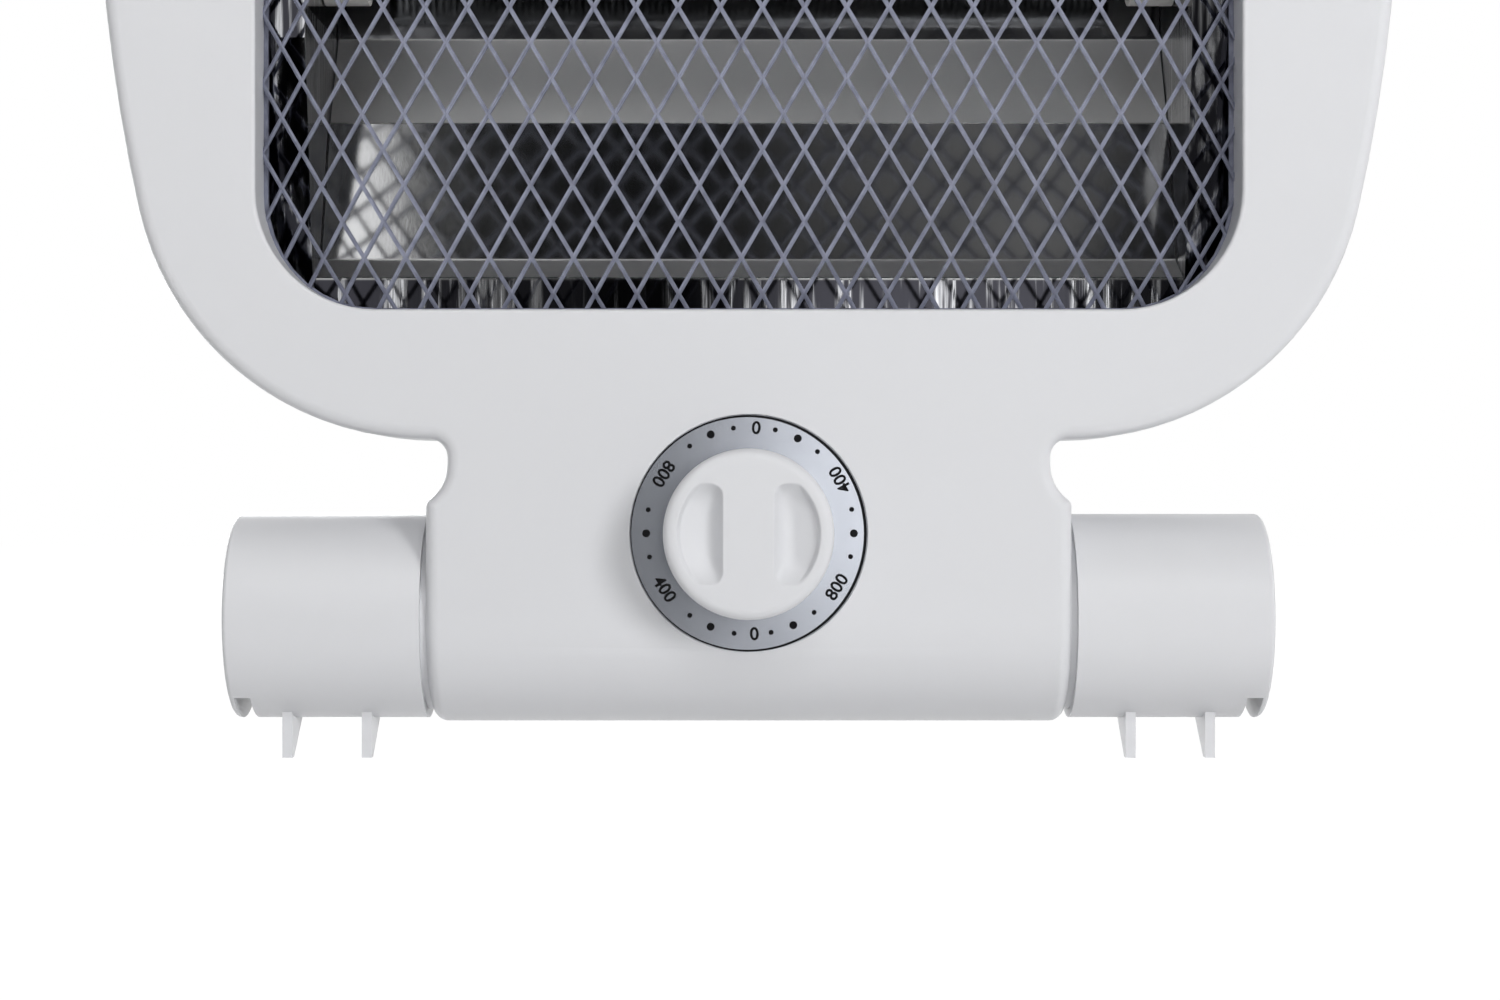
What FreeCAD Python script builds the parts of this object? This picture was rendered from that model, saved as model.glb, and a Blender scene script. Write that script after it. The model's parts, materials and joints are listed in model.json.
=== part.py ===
import FreeCAD, Part
import math
import os
import re

import Sketcher
from FreeCAD import Rotation, Vector

# Twin-tube quartz heater, in millimetres. X runs to the right, Y to the back and Z up.
# Z is zero at the tips of the plug-in ribs. Depths are measured back from the front panel's plane.
SIZES = {
    # Outline of head, neck and barrel, seen from the front
    "head_width": 294.8,
    "head_side_radius": 390.0,
    "head_corner_angle": 12.7,
    "head_crown_angle": 8.0,
    "head_floor": 0.8,
    "neck_rise": 40.74,
    "notch_radius": 4.0,
    "neck_step": 4.8,
    "neck_straight": 1.7,
    "flare_radius": 10.0,
    "flare_round": 2.0,
    "barrel_length": 146.0,
    "barrel_radius": 24.5,
    # Shells
    "wall": 2.2,
    "edge_round": 3.2,
    "head_depth": 78.0,
    "head_back_inset": 9.0,
    "head_back_round": 10.0,
    "overrun": 1.0,
    # Window and guard
    "window_margin": 36.2,
    "window_sill": 29.21,
    "window_round": 27.0,
    "window_edge_round": 0.9,
    "lip_wall": 1.8,
    "lip_depth": 12.2,
    "guard_gap": 0.5,
    "guard_set": 2.5,
    "guard_gauge": 1.2,
    "guard_rim": 1.6,
    "guard_strand": 1.9,
    "guard_pitch_across": 14.3,
    "guard_pitch_up": 23.9,
    "guard_play": 0.3,
    # Reflector
    "reflector_tuck": 9.5,
    "reflector_sill": 8.9,
    "reflector_front": 26.0,
    "reflector_depth": 40.0,
    "reflector_flange": 20.0,
    "reflector_back_height": 75.0,
    "reflector_strip_depth": 12.0,
    "reflector_strip_rise": 5.2,
    "reflector_knee_depth": 26.0,
    "reflector_knee_height": 120.0,
    "gauge": 0.8,
    "end_plate_front": 14.0,
    "end_plate_straight": 90.0,
    "end_plate_lap": 1.5,
    "end_plate_flange": 10.4,
    "end_plate_play": 0.3,
    # Tubes
    "tube_radius": 6.0,
    "tube_wall": 1.2,
    "tube_spacing": 49.2,
    "tube_depth": 44.0,
    "tube_play": 0.3,
    "coil_radius": 3.4,
    "coil_margin": 7.0,
    "pin_radius": 0.6,
    "pin_reach": 3.5,
    "pin_play": 0.2,
    "cap_radius": 8.0,
    "cap_length": 10.6,
    "cap_socket": 8.0,
    "cap_neck_radius": 6.4,
    "cap_neck_length": 8.0,
    "cap_play": 0.3,
    # Dial, knob and switch
    "dial_rise": 19.45,
    "dial_radius": 26.7,
    "dial_recess": 1.0,
    "dial_gauge": 0.6,
    "dial_play": 0.2,
    "knob_proud": 19.5,
    "knob_base_radius": 19.0,
    "knob_face_radius": 18.4,
    "knob_round": 2.2,
    "knob_lift": 1.0,
    "knob_hollow_radius": 11.0,
    "knob_hollow_depth": 5.0,
    "scoop_bar": 11.0,
    "scoop_radius": 16.2,
    "scoop_height": 21.6,
    "scoop_depth": 9.0,
    "scoop_brim": 1.5,
    "scoop_round": 4.0,
    "shaft_radius": 3.0,
    "shaft_flat": 1.2,
    "shaft_reach": 13.5,
    "shaft_tail": 18.0,
    "shaft_play": 0.05,
    "bushing_radius": 4.75,
    "bushing_reach": 3.4,
    "bushing_play": 0.1,
    "switch_size": 28.0,
    "switch_depth": 22.0,
    "nut_across": 13.0,
    "nut_thickness": 2.3,
    # Foot hubs and their spigots
    "hub_radius": 23.7,
    "hub_length": 44.6,
    "hub_wall": 2.0,
    "hub_end_wall": 1.4,
    "hub_end_round": 1.2,
    "hub_gap": 1.4,
    "hub_float": 0.3,
    "hub_slot_width": 3.7,
    "hub_slot_rise": 5.4,
    "hub_boss_radius": 6.5,
    "hub_boss_floor": 2.4,
    "bearing_play": 0.06,
    "spigot_wall": 2.4,
    "spigot_reach": 23.0,
    "spigot_flange": 0.4,
    "spigot_flange_thickness": 3.0,
    "spigot_web": 2.4,
    "spigot_boss_radius": 4.5,
    "spigot_boss_length": 12.0,
    "spigot_play": 0.15,
    "peg_radius": 2.0,
    "peg_offset": 13.0,
    "peg_play": 0.35,
    "tilt_angle": 30.0,
    "rib_drop": 8.75,
    "rib_thickness": 2.3,
    "rib_spacing": 18.3,
    "rib_shift": 0.5,
    "rib_front": 9.0,
    "rib_root": 24.0,
    "rib_tip": 3.0,
    "washer_thickness": 0.5,
    # Screws and bosses
    "screw_radius": 1.5,
    "screw_head_radius": 3.0,
    "screw_head_height": 2.2,
    "screw_length": 13.0,
    "screw_play": 0.1,
    "screw_hole_play": 0.25,
    "screw_well_radius": 3.6,
    "boss_radius": 4.5,
    "post_radius": 4.8,
    "post_floor": 3.5,
    "pilot_depth": 12.0,
    "head_screw_inset": 28.9,
    "head_screws_up": 140.0,
    "barrel_screws_across": 90.0,
    "reflector_screw_inset": 16.7,
    "reflector_screw_drop": 6.8,
    "reflector_boss_radius": 4.0,
    "reflector_screw_length": 9.0,
    # Back of the housing
    "vent_length": 62.0,
    "vent_width": 4.0,
    "vent_pitch": 9.0,
    "vent_across": 84.0,
    "vent_sill": 39.61,
    "vent_drop": 61.0,
    "grip_width": 92.0,
    "grip_height": 22.0,
    "grip_round": 8.0,
    "grip_depth": 16.0,
    "grip_drop": 41.61,
    "cord_across": 42.0,
    "cord_rise": 20.0,
    "cord_radius": 3.5,
    "bush_radius": 6.0,
    "bush_flange_radius": 8.0,
    "bush_flange": 2.0,
    "bush_play": 0.15,
    # Electrical pieces inside
    "tilt_switch_width": 20.0,
    "tilt_switch_depth": 13.0,
    "tilt_switch_height": 16.0,
    "tilt_switch_inset": 25.0,
    "tilt_switch_rise": 14.0,
    "terminal_width": 24.0,
    "terminal_depth": 11.0,
    "terminal_height": 14.0,
    "terminal_across": 28.0,
    "terminal_rise": 30.0,
    "cutout_radius": 8.5,
    "cutout_height": 6.0,
    "cutout_across": 60.0,
    "lead_radius": 1.2,
    "lead_gap": 0.3,
    "lead_clear": 9.0,
    "lead_pitch": 4.0,
    "lead_lift": 44.0,
}
VENT_ROWS = 5
NUT_SIDES = 6
LEAD_SIDES = 8
MITRED = 1

# An open gap of the guard smaller than this share of a whole one stays closed at the rim
SMALLEST_GAP_SHARE = 0.12

FRONT, SIDE, TOP = "XZ_Plane", "YZ_Plane", "XY_Plane"
LEFT, RIGHT = 1, -1
EPSILON = 1e-4
TO_BACK = Rotation(Vector(1, 0, 0), -90)

# Levels that many pieces share, as formulas of the sheet's sizes
PANEL_Y = "((knob_proud - head_depth) / 2)"
AXIS_Z = "(rib_drop + hub_radius)"
HEAD_Z = f"({AXIS_Z} + head_rise)"
CORNER_X = "(head_width / 2 - head_side_radius * (1 - cos(head_corner_angle)))"
CORNER_Z = "(head_side_radius * sin(head_corner_angle))"
FLOOR_X = "(neck_width / 2 + notch_radius + head_floor)"
CORNER_R = f"(({CORNER_X} - {FLOOR_X}) / cos(head_corner_angle))"
HEAD_HALF = f"({CORNER_Z} + {CORNER_R} * (1 - sin(head_corner_angle)))"
CROWN_R = f"({CORNER_R} + {FLOOR_X} / sin(head_crown_angle))"
NECK_TOP = "(neck_rise - notch_radius)"
NECK_FOOT = f"({NECK_TOP} - neck_straight)"
HUB_BORE = "(hub_radius - hub_wall)"
SPIGOT_R = f"({HUB_BORE} - bearing_play)"
HUB_START = "(barrel_length / 2 + hub_gap)"
HUB_END = f"({HUB_START} + hub_length)"
HUB_INSIDE = f"({HUB_END} - hub_end_wall)"
WEB_OUT = "(barrel_length / 2 + spigot_reach)"
BOSS_IN = f"({WEB_OUT} + hub_float)"
BOSS_SEAT = f"({BOSS_IN} + hub_boss_floor)"
END_PLATE_X = "(reflector_length / 2 + end_plate_play)"
CAP_IN = f"({END_PLATE_X} - cap_play - cap_length)"
CAP_OUT = f"({END_PLATE_X} + gauge + cap_neck_length)"
TUBE_HALF = f"({CAP_IN} + cap_socket - tube_play)"
PIN_END = f"({CAP_OUT} + pin_reach)"
DIAL_FRONT = "(dial_recess - dial_gauge)"
PILOT_R = "(screw_radius + screw_play)"

# Sizes that follow from others: each is a row of the sheet that holds a formula
FOLLOWING = {
    "neck_width": "barrel_length - 2 * neck_step",
    "head_rise": f"neck_rise + {HEAD_HALF}",
    "window_width": "head_width - 2 * window_margin",
    "window_height": f"2 * ({HEAD_HALF} - window_sill)",
    "reflector_length": "window_width - 2 * reflector_tuck",
    "reflector_height": "window_height - 2 * reflector_sill",
    "head_screws_across": "head_width - 2 * head_screw_inset",
    "reflector_screws_across": "reflector_length - 2 * reflector_screw_inset",
    "grip_rise": f"{HEAD_HALF} - grip_drop",
    "vent_low": f"{HEAD_HALF} - vent_sill",
    "vent_high": "grip_rise - vent_drop",
    "tilt_switch_across": "barrel_length / 2 - tilt_switch_inset",
}
ROWS = SIZES | {alias: f"={formula}" for alias, formula in FOLLOWING.items()}

doc = FreeCAD.newDocument("QuartzHeater")
sheet = doc.addObject("Spreadsheet::Sheet", "Size")
for row, (alias, size) in enumerate(ROWS.items(), 1):
    sheet.set(f"A{row}", alias)
    sheet.set(f"B{row}", str(size))
    sheet.setAlias(f"B{row}", alias)
doc.recompute()


def plain(text):
    return float(sheet.evalExpression(text))


def bound(text):
    return re.sub(r"[a-z_]+", lambda word: f"Size.{word[0]}" if word[0] in ROWS else word[0], text)


def drive(item, **texts):
    for name, text in texts.items():
        item.setExpression(name.replace("__", "."), bound(text))
    return item


def new_body(label, x="0", depth="0", z=HEAD_Z):
    body = doc.addObject("PartDesign::Body", label)
    place = {"Placement__Base__x": x, "Placement__Base__y": f"{PANEL_Y} + {depth}", "Placement__Base__z": z}
    return drive(body, **place)


def new_sketch(body, plane, place):
    sketch = body.newObject("Sketcher::SketchObject", "Sketch")
    origin = next(item for item in body.Origin.OriginFeatures if item.Role == plane)
    sketch.AttachmentSupport = [(origin, "")]
    sketch.MapMode = "FlatFace"
    along = f"-({place})" if plane == FRONT else place
    return drive(sketch, AttachmentOffset__Base__z=along)


def pin_down(sketch, wanted):
    indices = sketch.addConstraint([constraint for constraint, text in wanted])
    for index, (constraint, text) in zip(indices, wanted):
        if text:
            sketch.setExpression(f"Constraints[{index}]", bound(text))


def arc_between(start, end, radius, turn):
    chord = end - start
    reach = math.sqrt(max(radius ** 2 - (chord.Length / 2) ** 2, 0))
    square = Vector(-chord.y, chord.x).normalize()
    center = (start + end) / 2 + square * (reach * turn)
    first, last = (start - center, end - center)[::turn]
    circle = Part.Circle(center, Vector(0, 0, 1), radius)
    return Part.ArcOfCircle(circle, math.atan2(first.y, first.x), math.atan2(last.y, last.x))


# A closed outline: each corner is (across, up), with a radius and a turn where an arc leaves it
def add_loop(sketch, corners):
    base = sketch.GeometryCount
    points = [Vector(plain(corner[0]), plain(corner[1])) for corner in corners]
    followers = points[1:] + points[:1]
    ends = []
    wanted = []
    for corner, start, end in zip(corners, points, followers):
        if len(corner) == 2:
            sketch.addGeometry(Part.LineSegment(start, end))
            ends.append((1, 2))
        else:
            sketch.addGeometry(arc_between(start, end, plain(corner[2]), corner[3]))
            ends.append((1, 2)[::corner[3]])
    count = len(corners)
    for index, corner in enumerate(corners):
        item, after = base + index, (index + 1) % count
        meeting = Sketcher.Constraint("Coincident", item, ends[index][1], base + after, ends[after][0])
        across = Sketcher.Constraint("DistanceX", -1, 1, item, ends[index][0], points[index].x)
        up = Sketcher.Constraint("DistanceY", -1, 1, item, ends[index][0], points[index].y)
        wanted += [(meeting, ""), (across, corner[0]), (up, corner[1])]
        if len(corner) > 2:
            wanted.append((Sketcher.Constraint("Radius", item, plain(corner[2])), corner[2]))
    pin_down(sketch, wanted)


def outline(body, plane, *loops, place="0"):
    sketch = new_sketch(body, plane, place)
    for corners in loops:
        add_loop(sketch, corners)
    return sketch


def rounds(body, plane, centers, radius, place="0"):
    sketch = new_sketch(body, plane, place)
    wanted = []
    for index, (across, up) in enumerate(centers):
        center = Vector(plain(across), plain(up))
        sketch.addGeometry(Part.Circle(center, Vector(0, 0, 1), plain(radius)))
        wanted.append((Sketcher.Constraint("DistanceX", -1, 1, index, 3, center.x), across))
        wanted.append((Sketcher.Constraint("DistanceY", -1, 1, index, 3, center.y), up))
        wanted.append((Sketcher.Constraint("Radius", index, plain(radius)), radius))
    pin_down(sketch, wanted)
    return sketch


def on_front_plane(sketch):
    return sketch.AttachmentSupport[0][0].Role == FRONT


# Material added along the sketch's axis: toward is "+", "-" or "both"
def grow(body, sketch, length, toward="+"):
    item = body.newObject("PartDesign::Pad", "Pad")
    item.Profile = sketch
    item.SideType = "Symmetric" if toward == "both" else "One side"
    item.Reversed = on_front_plane(sketch) == (toward == "+")
    drive(item, Length=length)
    doc.recompute()
    return item


def cut(body, sketch, length, toward="+"):
    before = body.Tip.Shape.Volume
    item = body.newObject("PartDesign::Pocket", "Pocket")
    item.Profile = sketch
    item.SideType = "Symmetric" if toward == "both" else "One side"
    item.Reversed = on_front_plane(sketch) != (toward == "+")
    drive(item, Length=length)
    doc.recompute()
    if item.Shape.Volume >= before:
        raise ValueError(f"a pocket of {body.Label} cuts nothing")
    return item


# A turned piece: the outline's corners are (along the axis, radius)
def turn(body, plane, corners):
    sketch = outline(body, plane, corners)
    item = body.newObject("PartDesign::Revolution", "Revolution")
    item.Profile = sketch
    item.ReferenceAxis = (sketch, ["H_Axis"])
    doc.recompute()
    return item


def loft(body, kind, first, second):
    item = body.newObject(f"PartDesign::{kind}", kind)
    item.Profile = first
    item.Sections = [second]
    item.Ruled = True
    doc.recompute()
    return item


def round_edges(body, radius, wanted):
    base = body.Tip
    names = [f"Edge{index}" for index, edge in enumerate(base.Shape.Edges, 1) if wanted(edge)]
    item = body.newObject("PartDesign::Fillet", "Fillet")
    item.Base = (base, names)
    drive(item, Radius=radius)
    doc.recompute()
    return item


def at_depth(edge, depth):
    box = edge.BoundBox
    return abs(box.YMin - depth) < EPSILON and abs(box.YMax - depth) < EPSILON


def at_across(edge, across):
    box = edge.BoundBox
    return abs(box.XMin - across) < EPSILON and abs(box.XMax - across) < EPSILON


def group(label, members):
    item = doc.addObject("Part::Compound", label)
    item.Links = members
    return item


# Outlines that more than one piece follows
def both_sides(right):
    left = [(f"-({right[k][0]})", right[k][1], *right[k - 1][2:]) for k in range(len(right) - 1, 0, -1)]
    return right + left + [(f"-({right[0][0]})", right[0][1])]


def rounded_box(width, height, radius, up="0"):
    x, z = f"({width}) / 2", f"({height}) / 2"
    return [
        (f"{x} - ({radius})", f"{up} - {z}", radius, LEFT),
        (x, f"{up} - {z} + ({radius})"),
        (x, f"{up} + {z} - ({radius})", radius, LEFT),
        (f"{x} - ({radius})", f"{up} + {z}"),
        (f"({radius}) - {x}", f"{up} + {z}", radius, LEFT),
        (f"-{x}", f"{up} + {z} - ({radius})"),
        (f"-{x}", f"{up} - {z} + ({radius})", radius, LEFT),
        (f"({radius}) - {x}", f"{up} - {z}"),
    ]


def head_side(inset):
    x = f"{CORNER_X} - ({inset}) * cos(head_corner_angle)"
    z = f"({CORNER_Z} - ({inset}) * sin(head_corner_angle))"
    corner = f"{CORNER_R} - ({inset})"
    middle = f"(head_rise + {HEAD_HALF} - {CORNER_R})"
    return [
        (FLOOR_X, f"neck_rise + {inset}", corner, LEFT),
        (x, f"head_rise - {z}", f"head_side_radius - ({inset})", LEFT),
        (x, f"head_rise + {z}", corner, LEFT),
        (f"{FLOOR_X} + ({corner}) * sin(head_crown_angle)",
         f"{middle} + ({corner}) * cos(head_crown_angle)", f"{CROWN_R} - ({inset})", LEFT),
    ]


FLARE_X = "(neck_width / 2 + flare_radius - barrel_length / 2"


def flare_foot(inset):
    return f"{NECK_FOOT} - sqrt((flare_radius + {inset})^2 - {FLARE_X} + {inset})^2)"


def neck_side(inset, foot):
    return [
        (f"barrel_length / 2 - {inset}", foot),
        (f"barrel_length / 2 - {inset}", flare_foot(inset), f"flare_radius + {inset}", RIGHT),
        (f"neck_width / 2 - {inset}", NECK_FOOT),
        (f"neck_width / 2 - {inset}", NECK_TOP, f"notch_radius + {inset}", RIGHT),
        ("neck_width / 2 + notch_radius", f"neck_rise + {inset}"),
    ]


HEAD_SCREWS = [(f"{x} * head_screws_across / 2", f"head_rise + {z} * head_screws_up / 2")
               for x in (-1, 1) for z in (-1, 1)]
BARREL_SCREWS = [(f"{x} * barrel_screws_across / 2", "0") for x in (-1, 1)]
REFLECTOR_SCREWS = [
    (f"{x} * reflector_screws_across / 2", f"{z} * (window_height / 2 + reflector_screw_drop)")
    for x in (-1, 1) for z in (-1, 1)
]


def is_flare_corner(edge):
    box = edge.BoundBox
    along = box.XMax - box.XMin < EPSILON and box.ZMax - box.ZMin < EPSILON
    corner = plain("barrel_length / 2"), plain(flare_foot("0"))
    return along and math.dist((abs(box.XMin), box.ZMin), corner) < EPSILON


def is_barrel_end(edge, panel):
    box = edge.BoundBox
    ends = at_across(edge, plain("barrel_length / 2")) or at_across(edge, plain("-barrel_length / 2"))
    reaches = min(abs(box.YMin - panel), abs(box.YMax - panel)) < EPSILON
    return ends and reaches and box.ZMax < EPSILON and not at_depth(edge, panel)


def is_panel_rim(edge, panel, top):
    box = edge.BoundBox
    seam = box.ZMax < EPSILON or (box.ZMin > top - EPSILON and box.XMin < 0 < box.XMax)
    return at_depth(edge, panel) and not seam


def make_front_bezel():
    body = new_body("front_bezel", z=AXIS_Z)
    outside = both_sides(neck_side("0", "-barrel_radius") + head_side("0"))
    grow(body, outline(body, FRONT, outside), "barrel_radius")
    below = "-barrel_radius - overrun"
    corner = [("0", "0", "barrel_radius", LEFT), ("barrel_radius", "-barrel_radius"),
              ("barrel_radius", below), ("-overrun", below), ("-overrun", "0")]
    cut(body, outline(body, SIDE, corner), "barrel_length + overrun", "both")
    round_edges(body, "flare_round", is_flare_corner)
    crown = plain(f"head_rise + {HEAD_HALF} + overrun")
    round_edges(body, "edge_round", lambda edge: is_panel_rim(edge, 0, crown) or is_barrel_end(edge, 0))
    inside = both_sides(neck_side("wall", "0") + head_side("wall"))
    cut(body, outline(body, FRONT, inside, place="barrel_radius"), "barrel_radius - wall", "-")
    hollow = [("barrel_radius", "0"), ("wall", "0", "barrel_radius - wall", LEFT),
              ("barrel_radius", "wall - barrel_radius")]
    cut(body, outline(body, SIDE, hollow), "barrel_length - 2 * wall", "both")
    spigot_hole = rounds(body, SIDE, [("barrel_radius", "0")], f"{SPIGOT_R} + spigot_play")
    cut(body, spigot_hole, "barrel_length + overrun", "both")
    lip = rounded_box("window_width + 2 * lip_wall", "window_height + 2 * lip_wall",
                      "window_round + lip_wall", "head_rise")
    grow(body, outline(body, FRONT, lip, place="wall / 2"), "lip_depth - wall / 2")
    window = rounded_box("window_width", "window_height", "window_round", "head_rise")
    cut(body, outline(body, FRONT, window, place="-overrun"), "lip_depth + 2 * overrun")
    within = plain("window_width / 2 + overrun"), plain("head_rise - window_height / 2 - overrun")
    round_edges(body, "window_edge_round", lambda edge: at_depth(edge, 0) and edge.BoundBox.XMax < within[0]
                and edge.BoundBox.XMin > -within[0] and edge.BoundBox.ZMin > within[1])
    cut(body, rounds(body, FRONT, [("0", "dial_rise")], "dial_radius + dial_play", place="-overrun"),
        "dial_recess + overrun")
    cut(body, rounds(body, FRONT, [("0", "dial_rise")], "bushing_radius + bushing_play", place="-overrun"),
        "wall + 2 * overrun")
    screws = HEAD_SCREWS + BARREL_SCREWS
    grow(body, rounds(body, FRONT, screws, "boss_radius", place="barrel_radius"),
         "barrel_radius - wall / 2", "-")
    cut(body, rounds(body, FRONT, screws, PILOT_R, place="barrel_radius"), "pilot_depth", "-")
    seats = [(x, f"head_rise + {z}") for x, z in REFLECTOR_SCREWS]
    grow(body, rounds(body, FRONT, seats, "reflector_boss_radius", place="wall / 2"),
         "reflector_front - wall / 2")
    cut(body, rounds(body, FRONT, seats, PILOT_R, place="reflector_front"), "pilot_depth", "-")
    return body


def vent_slot(x, up):
    half, end = "vent_length / 2", "vent_width / 2"
    return [
        (f"{x} - {half} + {end}", f"{up} - {end}"),
        (f"{x} + {half} - {end}", f"{up} - {end}", end, LEFT),
        (f"{x} + {half}", up, end, LEFT),
        (f"{x} + {half} - {end}", f"{up} + {end}"),
        (f"{x} - {half} + {end}", f"{up} + {end}", end, LEFT),
        (f"{x} - {half}", up, end, LEFT),
    ]


def make_rear_cover():
    body = new_body("rear_cover", z=AXIS_Z)
    back = "2 * barrel_radius"
    ledge = "neck_rise + head_back_inset + wall"
    near = outline(body, FRONT, both_sides(head_side("0")), place="barrel_radius")
    far = outline(body, FRONT, both_sides(head_side("head_back_inset")), place="head_depth")
    loft(body, "AdditiveLoft", near, far)
    neck = both_sides(neck_side("0", "-barrel_radius") + [("neck_width / 2 + notch_radius", ledge)])
    grow(body, outline(body, FRONT, neck, place="barrel_radius"), "barrel_radius")
    below = "-barrel_radius - overrun"
    behind = f"{back} + overrun"
    corner = [(back, "0", "barrel_radius", RIGHT), ("barrel_radius", "-barrel_radius"),
              ("barrel_radius", below), (behind, below), (behind, "0")]
    cut(body, outline(body, SIDE, corner), "barrel_length + overrun", "both")
    round_edges(body, "flare_round", is_flare_corner)
    panel, crown = plain(back), plain("neck_rise")
    round_edges(body, "edge_round",
                lambda edge: is_panel_rim(edge, panel, crown) or is_barrel_end(edge, panel))
    near = outline(body, FRONT, both_sides(head_side("wall")), place="barrel_radius")
    far = outline(body, FRONT, both_sides(head_side("wall + head_back_inset")), place="head_depth - wall")
    loft(body, "SubtractiveLoft", near, far)
    floor, outside = plain("head_depth - wall"), plain("head_depth")
    round_edges(body, "head_back_round - wall", lambda edge: at_depth(edge, floor))
    round_edges(body, "head_back_round", lambda edge: at_depth(edge, outside))
    inside = both_sides(neck_side("wall", "0")[:3] + [("neck_width / 2 - wall", f"{ledge} + wall")])
    cut(body, outline(body, FRONT, inside, place="barrel_radius"), "barrel_radius - wall")
    hollow = [("barrel_radius", "0"), (f"{back} - wall", "0", "barrel_radius - wall", RIGHT),
              ("barrel_radius", "wall - barrel_radius")]
    cut(body, outline(body, SIDE, hollow), "barrel_length - 2 * wall", "both")
    spigot_hole = rounds(body, SIDE, [("barrel_radius", "0")], f"{SPIGOT_R} + spigot_play")
    cut(body, spigot_hole, "barrel_length + overrun", "both")
    grow(body, rounds(body, FRONT, HEAD_SCREWS, "post_radius", place="barrel_radius"),
         "head_depth - barrel_radius - wall / 2")
    grow(body, rounds(body, FRONT, BARREL_SCREWS, "post_radius", place="barrel_radius"),
         "barrel_radius - wall / 2")
    screws = HEAD_SCREWS + BARREL_SCREWS
    wells = rounds(body, FRONT, screws, "screw_well_radius", place="barrel_radius + post_floor")
    cut(body, wells, "head_depth")
    holes = rounds(body, FRONT, screws, "screw_radius + screw_hole_play", place="barrel_radius - overrun")
    cut(body, holes, "post_floor + 2 * overrun")
    cup = rounded_box("grip_width + 2 * wall", "grip_height + 2 * wall", "grip_round + wall",
                      "head_rise + grip_rise")
    grow(body, outline(body, FRONT, cup, place="head_depth - grip_depth - wall"), "grip_depth + wall / 2")
    grip = rounded_box("grip_width", "grip_height", "grip_round", "head_rise + grip_rise")
    cut(body, outline(body, FRONT, grip, place="head_depth - grip_depth"), "grip_depth + overrun")
    inlet = rounds(body, FRONT, [("cord_across", "cord_rise")], "bush_radius + bush_play",
                   place=f"{back} - 2 * wall")
    cut(body, inlet, "2 * wall + overrun")
    for up in ("head_rise - vent_low", "head_rise + vent_high"):
        slots = [vent_slot(f"{x} * vent_across / 2", up) for x in (-1, 1)]
        first = cut(body, outline(body, FRONT, *slots, place="head_depth - 2 * wall"), "2 * wall + overrun")
        rows = body.newObject("PartDesign::LinearPattern", "LinearPattern")
        rows.Originals = [first]
        rows.Direction = (next(item for item in body.Origin.OriginFeatures if item.Role == "Z_Axis"), [""])
        rows.Occurrences = VENT_ROWS
        drive(rows, Length=f"vent_pitch * {VENT_ROWS - 1}")
        body.Tip = rows
        doc.recompute()
    return body


def flat_wire(corners):
    points = [Vector(plain(corner[0]), 0, plain(corner[1])) for corner in corners]
    edges = []
    for corner, start, end in zip(corners, points, points[1:] + points[:1]):
        if len(corner) == 2:
            edges.append(Part.LineSegment(start, end).toShape())
        else:
            arc = arc_between(Vector(start.x, start.z), Vector(end.x, end.z), plain(corner[2]), corner[3])
            middle = arc.value((arc.FirstParameter + arc.LastParameter) / 2)
            edges.append(Part.Arc(start, Vector(middle.x, 0, middle.y), end).toShape())
    return Part.Wire(edges)


# The guard is one holed sheet of rhombic gaps with its edge folded back and turned out behind the lip
def make_guard_mesh():
    across, up, strand = plain("guard_pitch_across"), plain("guard_pitch_up"), plain("guard_strand")
    slope = math.atan2(across, up)
    gap_across = (across - strand / math.cos(slope)) / 2
    gap_up = (up - strand / math.sin(slope)) / 2
    width, height = "window_width - 2 * guard_gap", "window_height - 2 * guard_gap"
    edge = flat_wire(rounded_box(width, height, "window_round - guard_gap"))
    inner = flat_wire(rounded_box(f"{width} - 2 * guard_rim", f"{height} - 2 * guard_rim",
                                  "window_round - guard_gap - guard_rim"))
    tips = [Vector(gap_across, 0, 0), Vector(0, 0, gap_up), Vector(-gap_across, 0, 0), Vector(0, 0, -gap_up)]
    columns = math.ceil(plain(width) / across)
    rows = math.ceil(plain(height) / up)
    gaps = []
    for column in range(-columns, columns + 1):
        for row in range(-rows, rows + 1):
            if (column + row) % 2 == 0:
                center = Vector(column * across / 2, 0, row * up / 2)
                gaps.append(Part.Face(Part.makePolygon([center + tip for tip in tips + tips[:1]])))
    smallest = SMALLEST_GAP_SHARE * gaps[0].Area
    clipped = Part.Face(inner).common(Part.makeCompound(gaps))
    open_gaps = [face.OuterWire for face in clipped.Faces if face.Area > smallest]
    net = Part.Face([edge] + open_gaps)
    net.validate()
    front = Vector(0, plain("guard_set"), 0)
    net = net.extrude(Vector(0, plain("guard_gauge"), 0))
    fold = Part.Face([edge, inner])
    fold.validate()
    turned = plain("lip_depth + guard_play")
    fold = fold.extrude(Vector(0, turned - plain("guard_set + guard_gauge"), 0))
    fold.translate(Vector(0, plain("guard_gauge"), 0))
    wide = flat_wire(rounded_box(f"{width} + 2 * lip_wall", f"{height} + 2 * lip_wall",
                                 "window_round - guard_gap + lip_wall"))
    hem = Part.Face([wide, inner])
    hem.validate()
    hem = hem.extrude(Vector(0, plain("guard_gauge"), 0))
    hem.translate(Vector(0, turned, 0) - front)
    item = doc.addObject("Part::Feature", "guard_mesh")
    item.Shape = net.fuse([fold, hem]).removeSplitter()
    item.Placement.Base = Vector(0, plain(PANEL_Y), plain(HEAD_Z)) + front
    print("guard gaps", len(open_gaps))
    return item


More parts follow.
